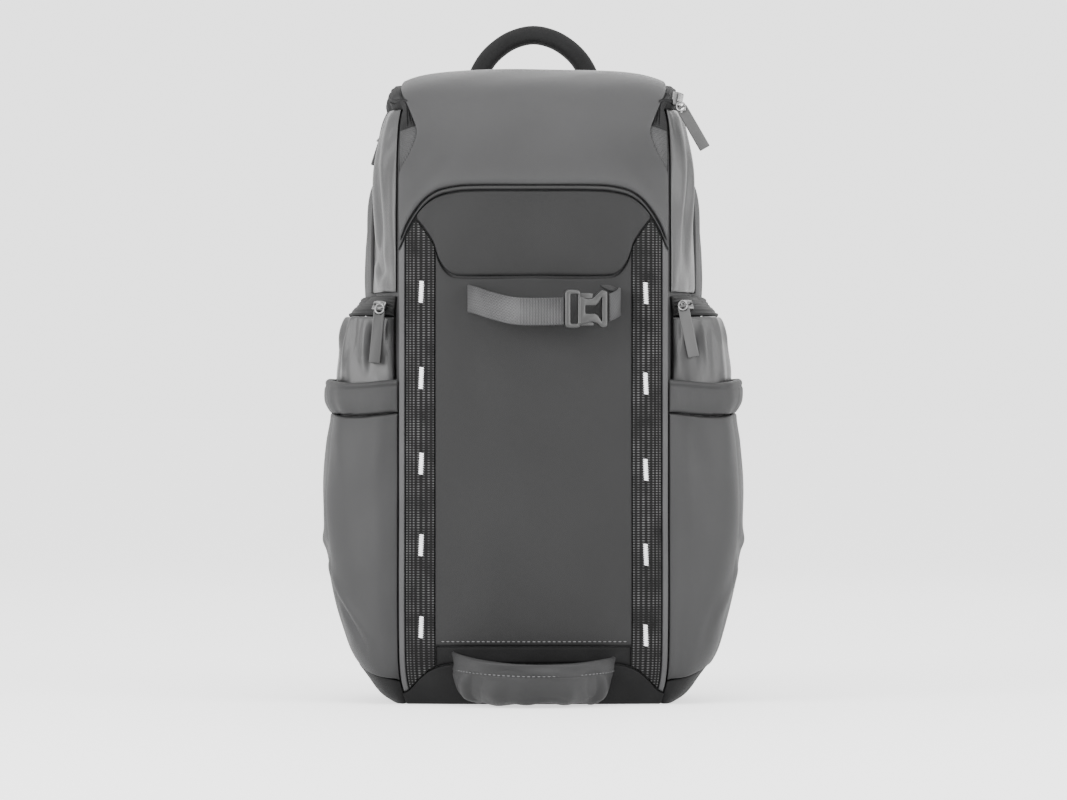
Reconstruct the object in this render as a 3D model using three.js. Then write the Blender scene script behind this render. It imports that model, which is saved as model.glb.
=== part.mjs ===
// A camera backpack: a padded body with a zipped lid, two ribbed attachment bands on its front,
// zipped side pockets over stretch-topped slip pockets, a load strap with a buckle and a fold-out foot cup.
// Millimetres; +Z is up, the front faces -Y, and the origin is the middle of the base on the ground.
import * as THREE from "three";
import { mergeVertices } from "three/addons/utils/BufferGeometryUtils.js";

// Driving sizes of the body
const BODY_HEIGHT = 470;
const FRONT_HALF_WIDTH = 98.5;
const SEAM_HALF_WIDTH = 117.5;
const REAR_HALF_WIDTH = 128;
const FRONT_DEPTH = 98;
const BACK_DEPTH = 78;
const SEAM_Y = -22;
const FRONT_CROWN = 8;
const LID_CORNER_DROP = 7;
const WALL_THICKNESS = 6;
const RIM_DROP = 37;
const SHELL_RIM_HEIGHT = BODY_HEIGHT - RIM_DROP;

// Driving sizes of the sewn panels
const GAP = 0.3;
const SEAM_GAP = 0.8;
const SHELL_CLEARANCE = 0.5;
const PANEL_THICKNESS = 2;
const LID_THICKNESS = 4;
const DOME_THICKNESS = 3;
const BAND_THICKNESS = 2.6;
const BASE_THICKNESS = 3;
const LID_PIPING_WIDTH = 3;
const SIDE_PIPING_THICKNESS = 3.4;
const BAND_INNER_X = 72;
const BAND_OUTER_X = 93;
const MIDDLE_PANEL_HEM_HEIGHT = 43.5;
const BASE_SEAM_HEIGHT = 30;
const SIDE_PANEL_DROP = 33;
const SIDE_PANEL_TOP = BODY_HEIGHT - SIDE_PANEL_DROP;
const GUSSET_POINT_DROP = 77;
const GUSSET_POINT_HEIGHT = BODY_HEIGHT - GUSSET_POINT_DROP;
const GUSSET_LAP = 4;

// Driving sizes of the side pockets
const POCKET_HALF_WIDTH = 156;
const POCKET_REAR_Y = 46;
const UPPER_POCKET_STEP = 9.5;
const UPPER_POCKET_HALF_WIDTH = POCKET_HALF_WIDTH - UPPER_POCKET_STEP;
const UPPER_POCKET_INSET = 7;
const UPPER_POCKET_BOTTOM = 186;
const UPPER_POCKET_TOP = 284;
const POCKET_ZIP_RISE = 15;
const POCKET_ZIP_TOP = UPPER_POCKET_TOP + POCKET_ZIP_RISE;
const SIDE_PANEL_FOOT = POCKET_ZIP_TOP + 3;
const CUFF_BOTTOM = 214;
const CUFF_TOP = 238;
const CUFF_THICKNESS = 2.5;

// Driving sizes of the load strap, its buckle and the foot cup
const STRAP_HEIGHT = 20;
const STRAP_THICKNESS = 1.8;
const STRAP_STAND_OFF = 26;
const STRAP_LEFT_X = -47;
const STRAP_RIGHT_X = 62;
const BUCKLE_LEFT_X = 22;
const BUCKLE_LENGTH = 32;
const BUCKLE_HEIGHT = 28;
const BUCKLE_THICKNESS = 9;
const BUCKLE_Z = 289;
const CUP_HALF_WIDTH = 58;
const CUP_FORWARD = 50;
const CUP_HEIGHT = 38;
const CUP_THICKNESS = 2;

// Driving sizes of the zip sliders and their pulls
const SLIDER_LENGTH = 11;
const SLIDER_WIDTH = 8;
const SLIDER_THICKNESS = 3.5;
const PULL_LENGTH = 41;
const TOP_PULL_LENGTH = 39;
const REAR_PULL_LENGTH = 24;
const PULL_WIDTH = 8;
const PULL_THICKNESS = 2.6;
const CORNER_EASE = 0.7;

// Driving sizes of the handle, back pad and shoulder straps
const HANDLE_TOP = 510;
const HANDLE_HALF_SPAN = 41;
const HANDLE_SECTION = 13;
const HANDLE_DEPTH = 20;
const HANDLE_FOOT_HEIGHT = 424;
const PAD_HALF_WIDTH = 98;
const PAD_BOTTOM = 62;
const PAD_TOP = 404;
const PAD_THICKNESS = 14;
const SHOULDER_HALF_WIDTH = 32;
const SHOULDER_THICKNESS = 10;
const SHOULDER_TOP_X = 52;
const SHOULDER_END_X = 84;
const SHOULDER_TOP_HEIGHT = 418;
const SHOULDER_END_HEIGHT = 150;
const SHOULDER_STAND_OFF = 46;
const ADJUSTER_LENGTH = 12;
const ADJUSTER_DROP = 3;
const TAIL_HALF_WIDTH = 12.5;
const TAIL_THICKNESS = 1.8;
const TAIL_FOOT_X = 98;
const TAIL_FOOT_HEIGHT = 46;

const BODY_CORE = new THREE.Vector3(0, 0, BODY_HEIGHT / 2);

// The body's plan at each height: half widths of the front, of the side seams and of the rear,
// as shares of their named half widths. Height is a share of BODY_HEIGHT.
const BODY_SECTIONS = [
  { height: 0.0, front: 0.93, seam: 0.8, rear: 0.75 },
  { height: 0.04, front: 0.985, seam: 0.86, rear: 0.8 },
  { height: 0.1, front: 1.0, seam: 0.92, rear: 0.87 },
  { height: 0.32, front: 1.0, seam: 0.96, rear: 0.93 },
  { height: 0.63, front: 1.0, seam: 1.0, rear: 0.99 },
  { height: 0.74, front: 1.0, seam: 1.0, rear: 0.98 },
  { height: 0.81, front: 1.0, seam: 0.985, rear: 0.955 },
  { height: 0.86, front: 1.0, seam: 0.965, rear: 0.87 },
  { height: 0.91, front: 0.99, seam: 0.93, rear: 0.82 },
  { height: 0.945, front: 0.96, seam: 0.86, rear: 0.78 },
];

// The body seen from the side, from the base up the front and over the top to the back edge.
// Way and height are shares of BODY_HEIGHT, fore of FRONT_DEPTH and aft of BACK_DEPTH.
const BODY_PROFILE = [
  { way: 0.0, fore: 0.84, aft: 0, height: 0.0 },
  { way: 0.04, fore: 0.93, aft: 0, height: 0.04 },
  { way: 0.1, fore: 0.975, aft: 0, height: 0.1 },
  { way: 0.3, fore: 1.0, aft: 0, height: 0.3 },
  { way: 0.6, fore: 0.985, aft: 0, height: 0.6 },
  { way: 0.72, fore: 0.96, aft: 0, height: 0.72 },
  { way: 0.8, fore: 0.915, aft: 0, height: 0.8 },
  { way: 0.87, fore: 0.84, aft: 0, height: 0.87 },
  { way: 0.93, fore: 0.72, aft: 0, height: 0.922 },
  { way: 0.975, fore: 0.56, aft: 0, height: 0.954 },
  { way: 1.02, fore: 0.36, aft: 0, height: 0.976 },
  { way: 1.07, fore: 0.12, aft: 0, height: 0.989 },
  { way: 1.14, fore: 0.0, aft: 0.25, height: 0.991 },
  { way: 1.22, fore: 0.0, aft: 0.74, height: 0.983 },
  { way: 1.25, fore: 0.0, aft: 0.92, height: 0.973 },
  { way: 1.275, fore: 0.0, aft: 1.01, height: 0.958 },
  { way: 1.335, fore: 0.0, aft: 1.035, height: 0.911 },
];

// The lid's side edge: half width as a share of FRONT_HALF_WIDTH along the same way.
const LID_EDGE = [
  { way: 0.7, half: 0.965 },
  { way: 0.735, half: 0.99 },
  { way: 0.795, half: 0.995 },
  { way: 0.83, half: 0.985 },
  { way: 0.855, half: 0.92 },
  { way: 0.89, half: 0.865 },
  { way: 0.92, half: 0.9 },
  { way: 0.955, half: 0.965 },
  { way: 0.985, half: 1.01 },
  { way: 1.02, half: 1.015 },
  { way: 1.06, half: 0.985 },
  { way: 1.15, half: 0.98 },
  { way: 1.335, half: 0.93 },
];

// The arch of the lid's lower edge: across is a share of FRONT_HALF_WIDTH, height of BODY_HEIGHT.
const LID_ARCH = [
  { across: 0.0, height: 0.809 },
  { across: 0.5, height: 0.8085 },
  { across: 0.63, height: 0.805 },
  { across: 0.72, height: 0.799 },
  { across: 0.8, height: 0.787 },
  { across: 0.87, height: 0.769 },
  { across: 0.93, height: 0.748 },
  { across: 0.975, height: 0.726 },
  { across: 1.0, height: 0.714 },
];

// The dome panel's lower edge, in the same shares: level, round the corner, then slanting out.
const DOME_EDGE = [
  { across: 0.0, height: 0.668 },
  { across: 0.56, height: 0.668 },
  { across: 0.64, height: 0.675 },
  { across: 0.7, height: 0.694 },
  { across: 0.74, height: 0.72 },
  { across: 0.88, height: 0.762 },
  { across: 1.0, height: 0.79 },
];

// The base seam across the front: height as a share of BASE_SEAM_HEIGHT.
const BASE_SEAM = [
  { across: 0.0, height: 1.0 },
  { across: 0.6, height: 1.0 },
  { across: 0.76, height: 0.87 },
  { across: 0.87, height: 0.6 },
  { across: 0.96, height: 0.35 },
  { across: 1.0, height: 0.3 },
];

// The slip pocket's outer half width: height as a share of CUFF_TOP, half of POCKET_HALF_WIDTH.
const SLIP_OUTLINE = [
  { height: 0.0, half: 0.65 },
  { height: 0.03, half: 0.725 },
  { height: 0.085, half: 0.79 },
  { height: 0.15, half: 0.86 },
  { height: 0.21, half: 0.897 },
  { height: 0.32, half: 0.945 },
  { height: 0.47, half: 0.985 },
  { height: 0.64, half: 1.0 },
  { height: 0.8, half: 0.985 },
  { height: 0.9, half: 0.966 },
  { height: 0.94, half: 0.985 },
  { height: 1.0, half: 0.984 },
];

// The zipped pocket's outer half width: height as a share of UPPER_POCKET_TOP.
const UPPER_OUTLINE = [
  { height: 0.65, half: 0.8 },
  { height: 0.665, half: 0.9 },
  { height: 0.72, half: 0.98 },
  { height: 0.85, half: 0.998 },
  { height: 0.94, half: 0.974 },
  { height: 0.985, half: 0.956 },
  { height: 1.0, half: 0.942 },
];

// A pocket's plan from its front seam to its rear seam: out is the share of its reach beyond the
// nearer seam, back the share of the way from the front seam to the rear seam.
const POCKET_PLAN = [
  { round: 0.0, out: 0.0, back: 0.0 },
  { round: 0.16, out: 0.3, back: 0.0 },
  { round: 0.34, out: 0.68, back: 0.07 },
  { round: 0.5, out: 0.92, back: 0.2 },
  { round: 0.64, out: 1.0, back: 0.38 },
  { round: 0.78, out: 0.95, back: 0.66 },
  { round: 0.9, out: 0.6, back: 0.88 },
  { round: 1.0, out: 0.0, back: 1.0 },
];
const POCKET_WIDEST = 0.64;

// The slip pocket's bottom seam: height as a share of BASE_SEAM_HEIGHT, along the same round.
const CORNER_SEAM = [
  { round: 0.0, height: 0.6 },
  { round: 0.3, height: 0.75 },
  { round: 0.6, height: 1.0 },
  { round: 1.0, height: 1.25 },
];

// The load strap from its left foot to the buckle: along in shares of that way, stand-off of
// STRAP_STAND_OFF, rise of STRAP_HEIGHT above its level run.
const STRAP_ROUTE = [
  { along: 0.0, off: 0.0, rise: 0.5 },
  { along: 0.08, off: 0.42, rise: 0.42 },
  { along: 0.25, off: 0.8, rise: 0.22 },
  { along: 0.48, off: 0.97, rise: 0.03 },
  { along: 0.75, off: 1.0, rise: 0.0 },
  { along: 1.0, off: 0.96, rise: 0.02 },
];

// The foot cup from its mouth down its wall and in under its floor: height as a share of
// CUP_HEIGHT, half of CUP_HALF_WIDTH and forward of CUP_FORWARD.
const CUP_SECTIONS = [
  { down: 0.0, height: 1.0, half: 1.0, forward: 1.0 },
  { down: 0.35, height: 0.62, half: 0.97, forward: 0.97 },
  { down: 0.6, height: 0.25, half: 0.89, forward: 0.88 },
  { down: 0.75, height: 0.11, half: 0.77, forward: 0.76 },
  { down: 1.0, height: 0.1, half: 0.7, forward: 0.04 },
];

// A shoulder strap from its upper end to its lower end: off is a share of SHOULDER_STAND_OFF,
// side of the way from SHOULDER_TOP_X to SHOULDER_END_X, half of SHOULDER_HALF_WIDTH.
const SHOULDER_ROUTE = [
  { along: 0.0, off: 0.0, side: 0.0, half: 0.8 },
  { along: 0.1, off: 0.45, side: -0.05, half: 0.95 },
  { along: 0.3, off: 0.92, side: -0.1, half: 1.0 },
  { along: 0.55, off: 1.0, side: 0.15, half: 0.98 },
  { along: 0.8, off: 0.8, side: 0.6, half: 0.85 },
  { along: 1.0, off: 0.5, side: 1.0, half: 0.6 },
];

// A smooth curve through a table's rows: it returns the row at any value of the key column.
function curveThrough(rows, key) {
  const names = Object.keys(rows[0]).filter((name) => name !== key);
  const slopeAt = (i, name) => {
    const before = rows[Math.max(i - 1, 0)];
    const after = rows[Math.min(i + 1, rows.length - 1)];
    return (after[name] - before[name]) / (after[key] - before[key]);
  };
  return (at) => {
    const clamped = Math.min(Math.max(at, rows[0][key]), rows[rows.length - 1][key]);
    let i = 0;
    while (i < rows.length - 2 && clamped > rows[i + 1][key]) i += 1;
    const span = rows[i + 1][key] - rows[i][key];
    const t = (clamped - rows[i][key]) / span;
    const row = {};
    for (const name of names) {
      const rise = rows[i + 1][name] - rows[i][name];
      const leave = slopeAt(i, name) * span;
      const arrive = slopeAt(i + 1, name) * span;
      row[name] = rows[i][name] + t * leave + t * t * (3 * rise - 2 * leave - arrive)
        + t * t * t * (leave + arrive - 2 * rise);
    }
    return row;
  };
}

const bodySection = curveThrough(BODY_SECTIONS, "height");
const bodyProfile = curveThrough(BODY_PROFILE, "way");
const lidEdge = curveThrough(LID_EDGE, "way");
const lidArch = curveThrough(LID_ARCH, "across");
const domeEdge = curveThrough(DOME_EDGE, "across");
const baseSeam = curveThrough(BASE_SEAM, "across");
const slipOutline = curveThrough(SLIP_OUTLINE, "height");
const upperOutline = curveThrough(UPPER_OUTLINE, "height");
const pocketPlan = curveThrough(POCKET_PLAN, "round");
const cornerSeam = curveThrough(CORNER_SEAM, "round");
const strapRoute = curveThrough(STRAP_ROUTE, "along");
const cupSection = curveThrough(CUP_SECTIONS, "down");
const shoulderRoute = curveThrough(SHOULDER_ROUTE, "along");

const mix = (a, b, t) => a + (b - a) * t;
const frontHalf = (z) => bodySection(z / BODY_HEIGHT).front * FRONT_HALF_WIDTH;
const seamHalf = (z) => bodySection(z / BODY_HEIGHT).seam * SEAM_HALF_WIDTH;
const rearHalf = (z) => bodySection(z / BODY_HEIGHT).rear * REAR_HALF_WIDTH;
const archHeight = (x) => lidArch(Math.abs(x) / FRONT_HALF_WIDTH).height * BODY_HEIGHT;
const domeHeight = (x) => domeEdge(Math.abs(x) / FRONT_HALF_WIDTH).height * BODY_HEIGHT;
const seamHeight = (x) => baseSeam(Math.abs(x) / FRONT_HALF_WIDTH).height * BASE_SEAM_HEIGHT;

// The way along the profile where its front reaches a height.
function wayAt(z) {
  const top = 1.1;
  let low = 0;
  let high = top;
  for (let step = 0; step < 40; step += 1) {
    const middle = (low + high) / 2;
    if (bodyProfile(middle).height * BODY_HEIGHT < z) low = middle;
    else high = middle;
  }
  return (low + high) / 2;
}

// How far forward the body's middle line is at a height.
const foreAt = (z) => bodyProfile(wayAt(z)).fore * FRONT_DEPTH;

// A point of the body's front at a place across and a height.
function frontPoint(x, z) {
  const crown = FRONT_CROWN * (x / FRONT_HALF_WIDTH) ** 2;
  return new THREE.Vector3(x, -foreAt(z) + crown, z);
}

// The same with the place across following the front where it narrows.
const onFront = (x, z) => frontPoint(x * frontHalf(z) / FRONT_HALF_WIDTH, z);

// A point of the face that runs up the front and over the top: across is -1 to 1 of the lid's edge.
function facePoint(across, way) {
  const row = bodyProfile(way);
  const overTop = THREE.MathUtils.smoothstep(way, 0.9, 1.1);
  const x = across * lidEdge(way).half * FRONT_HALF_WIDTH;
  const crown = FRONT_CROWN * (x / FRONT_HALF_WIDTH) ** 2 * (1 - overTop);
  const drop = LID_CORNER_DROP * across ** 4 * overTop;
  const y = -row.fore * FRONT_DEPTH + row.aft * BACK_DEPTH + crown;
  return new THREE.Vector3(x, y, row.height * BODY_HEIGHT - drop);
}

// A point of the body's side at a height, from the front corner (0) past the side seam (1),
// down into the groove behind the seam and out over the rear (2).
function sidePoint(side, round, z) {
  const front = frontHalf(z);
  const seam = seamHalf(z);
  const rear = rearHalf(z);
  const cornerY = -foreAt(z) + FRONT_CROWN;
  const groove = 3;
  if (round <= 1) {
    const bulge = 2.5 * Math.sin(Math.PI * round);
    return new THREE.Vector3(side * (mix(front, seam, round) + bulge), mix(cornerY, SEAM_Y, round), z);
  }
  const t = round - 1;
  const dip = groove * Math.sin(Math.PI * Math.min(t / 0.3, 1));
  const out = mix(seam, rear, THREE.MathUtils.smoothstep(t, 0.1, 0.7));
  return new THREE.Vector3(side * (out - dip), mix(SEAM_Y, BACK_DEPTH * 0.6, t), z);
}

// The body's plan ring at a height, anticlockwise seen from above from the middle of the back.
function bodyRing(z) {
  const half = [];
  const backCorner = rearHalf(z);
  for (const x of [0, 0.45, 0.78]) half.push(new THREE.Vector3(x * backCorner, BACK_DEPTH, z));
  half.push(new THREE.Vector3(0.93 * backCorner, BACK_DEPTH * 0.95, z));
  half.push(new THREE.Vector3(0.985 * backCorner, BACK_DEPTH * 0.8, z));
  for (const round of [2, 1.8, 1.6, 1.45, 1.3, 1.15, 1, 0.75, 0.5, 0.25]) half.push(sidePoint(1, round, z));
  for (const x of [1, 0.85, 0.65, 0.4, 0.2]) half.push(frontPoint(x * frontHalf(z), z));
  const middle = frontPoint(0, z);
  const mirrored = half.slice(1).reverse().map((p) => new THREE.Vector3(-p.x, p.y, p.z));
  const underShoulder = THREE.MathUtils.smoothstep(z / BODY_HEIGHT, 0.84, 0.92);
  return insetRing([...half, middle, ...mirrored], SHELL_CLEARANCE * (1 + underShoulder), z);
}

// A ring moved inwards in its own level plane, with a new height.
function insetRing(ring, distance, z) {
  return ring.map((point, i) => {
    const before = ring[(i + ring.length - 1) % ring.length];
    const after = ring[(i + 1) % ring.length];
    const along = after.clone().sub(before).setZ(0).normalize();
    return new THREE.Vector3(point.x + along.y * distance, point.y - along.x * distance, z);
  });
}

// A closed geometry from points and triangles, turned so that its faces point out.
function closedGeometry(points, triangles) {
  let volume = 0;
  for (const [a, b, c] of triangles) {
    volume += points[a].dot(points[b].clone().cross(points[c]));
  }
  const facing = volume > 0 ? triangles : triangles.map(([a, b, c]) => [a, c, b]);
  const geometry = new THREE.BufferGeometry().setFromPoints(points);
  geometry.setIndex(facing.flat());
  geometry.computeVertexNormals();
  return geometry;
}

// A solid skinned over rings of points that have as many points each, with its two ends capped.
function ringSolid(rings) {
  const count = rings[0].length;
  const points = rings.flat();
  const triangles = [];
  for (let r = 0; r < rings.length - 1; r += 1) {
    for (let i = 0; i < count; i += 1) {
      const a = r * count + i;
      const b = r * count + ((i + 1) % count);
      triangles.push([a, b, b + count], [a, b + count, a + count]);
    }
  }
  const last = (rings.length - 1) * count;
  for (const [start, turned] of [[0, true], [last, false]]) {
    const middle = new THREE.Vector3();
    for (let i = 0; i < count; i += 1) middle.addScaledVector(points[start + i], 1 / count);
    points.push(middle);
    for (let i = 0; i < count; i += 1) {
      const a = start + i;
      const b = start + ((i + 1) % count);
      triangles.push(turned ? [b, a, points.length - 1] : [a, b, points.length - 1]);
    }
  }
  return closedGeometry(points, triangles);
}

// The unit normal of a surface at u and v, each from 0 to 1.
function normalOf(surface, u, v) {
  const step = 1e-3;
  const overU = surface(Math.min(u + step, 1), v).sub(surface(Math.max(u - step, 0), v));
  const overV = surface(u, Math.min(v + step, 1)).sub(surface(u, Math.max(v - step, 0)));
  return overU.cross(overV).normalize();
}

// A sheet of cloth with a thickness: surface(u, v) is its inner face for u and v from 0 to 1,
// and it grows away from the point awayFrom. The thickness may be a function of u and v.
function sheetSolid(surface, { across, along, thickness, lift = 0, awayFrom = BODY_CORE }) {
  const normalAt = (u, v) => normalOf(surface, u, v);
  let facing = 0;
  for (const u of [0.2, 0.5, 0.8]) {
    for (const v of [0.2, 0.4, 0.8]) facing += normalAt(u, v).dot(surface(u, v).sub(awayFrom));
  }
  const out = Math.sign(facing);
  const thick = typeof thickness === "function" ? thickness : () => thickness;
  const points = [];
  for (const outer of [0, 1]) {
    for (let j = 0; j <= along; j += 1) {
      for (let i = 0; i <= across; i += 1) {
        const u = i / across;
        const v = j / along;
        const height = lift + outer * thick(u, v);
        points.push(surface(u, v).addScaledVector(normalAt(u, v), out * height));
      }
    }
  }
  const row = across + 1;
  const layer = row * (along + 1);
  const triangles = [];
  const quad = (a, b, c, d) => triangles.push([a, b, c], [a, c, d]);
  for (let j = 0; j < along; j += 1) {
    for (let i = 0; i < across; i += 1) {
      const a = j * row + i;
      quad(a + layer, a + 1 + layer, a + 1 + row + layer, a + row + layer);
      quad(a, a + row, a + 1 + row, a + 1);
    }
  }
  for (let i = 0; i < across; i += 1) {
    const far = along * row + i;
    quad(i, i + 1, i + 1 + layer, i + layer);
    quad(far + 1, far, far + layer, far + 1 + layer);
  }
  for (let j = 0; j < along; j += 1) {
    const near = j * row;
    const far = near + across;
    quad(near + row, near, near + layer, near + row + layer);
    quad(far, far + row, far + row + layer, far + layer);
  }
  return closedGeometry(points, triangles);
}

// Rows of a front panel lie closer together towards its foot, where the front curves in most.
const FOOT_BUNCHING = 1.5;

// A panel sewn on the front: it runs across from left to right, and up from bottom(x) to top(x).
// A rounded one has its columns closer together towards its two sides.
function frontPanel({ left, right, bottom, top, across, along, thickness, rounded = false }) {
  const surface = (u, v) => {
    const x = mix(left, right, rounded ? 0.5 - 0.5 * Math.cos(Math.PI * u) : u);
    return onFront(x, mix(bottom(x), top(x), v ** FOOT_BUNCHING));
  };
  return sheetSolid(surface, { across, along, thickness, lift: GAP });
}

const bag = new THREE.Group();

// Adds a named piece with its own finish.
function addPiece(name, geometry, material) {
  const mesh = new THREE.Mesh(geometry, material);
  mesh.name = name;
  bag.add(mesh);
  return mesh;
}

const finish = (color, roughness, metalness = 0) =>
  new THREE.MeshStandardMaterial({ color, roughness, metalness });
const coatedGrey = () => finish(0x77777a, 0.7);
const panelGrey = () => finish(0x5c5c5f, 0.75);
const nylonGrey = () => finish(0x85858a, 0.5);
const darkCloth = () => finish(0x2e2e31, 0.85);
const ribbedCloth = () => finish(0x3c3c3f, 0.9);
const bandWebbing = () => finish(0x38383a, 0.85);
const strapWebbing = () => finish(0x8c8c90, 0.8);
const paddedMesh = () => finish(0x3a3a3d, 0.9);
const pipingTrim = () => finish(0x1f1f21, 0.6);
const greyPlastic = () => finish(0x6e6e72, 0.45);
const darkPlastic = () => finish(0x2c2c2e, 0.5);
const zipMetal = () => finish(0xb8b8bc, 0.3, 1);

// The padded body: a deep open-topped shell of foam between two cloths.
function bodyShell() {
  const floor = BASE_THICKNESS + GAP;
  const shares = [0, 0.015, 0.035, 0.08, 0.17, 0.3, 0.45, 0.6, 0.7, 0.78, 0.85, 0.91, 0.955, 1];
  const heights = shares.map((share) => mix(floor, SHELL_RIM_HEIGHT, share));
  const outside = heights.map((z) => bodyRing(z));
  const inside = outside.map((ring, i) =>
    insetRing(ring, WALL_THICKNESS, i === 0 ? floor + WALL_THICKNESS : heights[i]));
  inside.splice(1, 1);
  return ringSolid([...outside, ...inside.reverse()]);
}

// The hard-wearing base: a flat plate under the body that turns up over the foot of the front.
function basePanel() {
  const turn = 0.6;
  const surface = (u, v) => {
    const shareAcross = mix(-0.97, 0.97, u);
    const footX = shareAcross * frontHalf(BASE_THICKNESS);
    const foreY = -foreAt(BASE_THICKNESS) + FRONT_CROWN * shareAcross ** 2 - 2 * GAP;
    if (v <= turn) return new THREE.Vector3(footX, mix(BACK_DEPTH - 2, foreY, v / turn), BASE_THICKNESS);
    const t = (v - turn) / (1 - turn);
    const z = mix(BASE_THICKNESS, seamHeight(shareAcross * FRONT_HALF_WIDTH), t);
    return onFront(shareAcross * FRONT_HALF_WIDTH, z).add(new THREE.Vector3(0, -2 * GAP, 0));
  };
  const underneath = new THREE.Vector3(0, 0, BODY_HEIGHT);
  return sheetSolid(surface, { across: 10, along: 10, thickness: BASE_THICKNESS, awayFrom: underneath });
}

// The lid: one shaped panel from the arch on the front, over the top, to the back edge.
function lidPanel() {
  const backEnd = BODY_PROFILE[BODY_PROFILE.length - 1].way;
  const surface = (u, v) => {
    const across = Math.sin(mix(-Math.PI / 2, Math.PI / 2, u));
    const start = archHeight(across * lidEdge(0.72).half * FRONT_HALF_WIDTH) / BODY_HEIGHT;
    return facePoint(across, mix(start, backEnd, v));
  };
  return sheetSolid(surface, { across: 14, along: 18, thickness: LID_THICKNESS, lift: GAP });
}

// The corded edge of the lid's arch, which stands a little proud of the lid.
function lidPiping() {
  const reach = FRONT_HALF_WIDTH - GAP;
  return frontPanel({
    left: -reach,
    right: reach,
    bottom: (x) => archHeight(x) - SEAM_GAP - LID_PIPING_WIDTH,
    top: (x) => archHeight(x) - SEAM_GAP,
    across: 24,
    along: 1,
    thickness: LID_THICKNESS,
    rounded: true,
  });
}

// The edge where the panels under the lid stop.
const underLid = (x) => archHeight(x) - LID_PIPING_WIDTH - 2 * SEAM_GAP;

// The plain dome panel under the lid's arch.
function domePanel() {
  const reach = 0.86 * FRONT_HALF_WIDTH;
  return frontPanel({
    left: -reach,
    right: reach,
    bottom: domeHeight,
    top: underLid,
    across: 22,
    along: 2,
    thickness: DOME_THICKNESS,
    rounded: true,
  });
}

// The tall middle panel, which ends at a stitched hem.
function middlePanel() {
  const reach = BAND_INNER_X - SEAM_GAP;
  return frontPanel({
    left: -reach,
    right: reach,
    bottom: () => MIDDLE_PANEL_HEM_HEIGHT,
    top: (x) => domeHeight(x) - 2 * SEAM_GAP,
    across: 14, along: 6, thickness: PANEL_THICKNESS, rounded: true,
  });
}

// The strip between the hem and the base seam.
function lowerStrip() {
  const reach = BAND_INNER_X - SEAM_GAP;
  return frontPanel({
    left: -reach,
    right: reach,
    bottom: (x) => seamHeight(x) + SEAM_GAP,
    top: () => MIDDLE_PANEL_HEM_HEIGHT - SEAM_GAP,
    across: 10, along: 1, thickness: PANEL_THICKNESS / 2,
  });
}

// A ribbed attachment band beside the middle panel, from the base seam to its pointed top.
function attachmentBand(side) {
  return frontPanel({
    left: side * BAND_INNER_X,
    right: side * BAND_OUTER_X,
    bottom: (x) => seamHeight(x) + SEAM_GAP,
    top: (x) => Math.min(domeHeight(x), underLid(x)) - 3 * SEAM_GAP,
    across: 4,
    along: 14,
    thickness: BAND_THICKNESS,
  });
}

// The narrow light border along a band's outer side, at the body's front corner.
function bandBorder(side) {
  return frontPanel({
    left: side * (BAND_OUTER_X + SEAM_GAP),
    right: side * (FRONT_HALF_WIDTH - GAP),
    bottom: (x) => seamHeight(x) + SEAM_GAP,
    top: (x) => underLid(x) - SEAM_GAP,
    across: 1,
    along: 14,
    thickness: PANEL_THICKNESS,
  });
}

// The foot of the ribbed gusset along the side, from the body's back corner (0) forward over the
// side seam to the front corner (1). It lies outside the body's rim, then above the side panel.
function gussetSideFoot(side, t) {
  const pastCorner = 0.2;
  const pastSeam = 0.6;
  const rearZ = SHELL_RIM_HEIGHT - GUSSET_LAP;
  const frontZ = SIDE_PANEL_TOP + 2 * SEAM_GAP;
  const z = mix(rearZ, frontZ, THREE.MathUtils.smoothstep(t, pastSeam - 0.2, pastSeam - 0.05));
  if (t < pastCorner) {
    const corner = new THREE.Vector3(side * 0.95 * rearHalf(z), BACK_DEPTH * 0.93, z);
    return corner.lerp(sidePoint(side, 2, z), t / pastCorner);
  }
  if (t < pastSeam) return sidePoint(side, mix(2, 1, (t - pastCorner) / (pastSeam - pastCorner)), z);
  return sidePoint(side, mix(1, 0, (t - pastSeam) / (1 - pastSeam)), z);
}

// A point of the gusset between the lid's side edge (u = 0) and the body (u = 1), from the back
// (v = 0) forward and then down the front to its lower point (v = 1).
function gussetPoint(side, u, v) {
  const turn = 0.5;
  const turnWay = 0.955;
  const backWay = 1.25;
  const along = Math.min(v / turn, 1);
  const down = Math.max((v - turn) / (1 - turn), 0);
  const way = v < turn
    ? mix(backWay, turnWay, along)
    : mix(turnWay, GUSSET_POINT_HEIGHT / BODY_HEIGHT, down);
  const atLid = facePoint(side, way);
  atLid.x += side * 2 * SEAM_GAP;
  const inward = 3 * SEAM_GAP * THREE.MathUtils.smoothstep(down, 0, 0.15);
  const frontZ = mix(SIDE_PANEL_TOP + 2 * SEAM_GAP, GUSSET_POINT_HEIGHT, down);
  const atFront = onFront(side * (FRONT_HALF_WIDTH - inward), frontZ);
  return atLid.lerp(v < turn ? gussetSideFoot(side, along) : atFront, u);
}

function lidGusset(side) {
  const surface = (u, v) => gussetPoint(side, u, mix(0.02, 0.97, v));
  return sheetSolid(surface, { across: 3, along: 22, thickness: PANEL_THICKNESS, lift: 2 * GAP });
}

// The side panel from the front corner to the side seam, above the zipped pocket.
function sidePanel(side) {
  const surface = (u, v) => sidePoint(side, mix(0.06, 0.97, u), mix(SIDE_PANEL_FOOT, SIDE_PANEL_TOP, v));
  return sheetSolid(surface, { across: 4, along: 6, thickness: PANEL_THICKNESS, lift: GAP });
}

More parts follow.
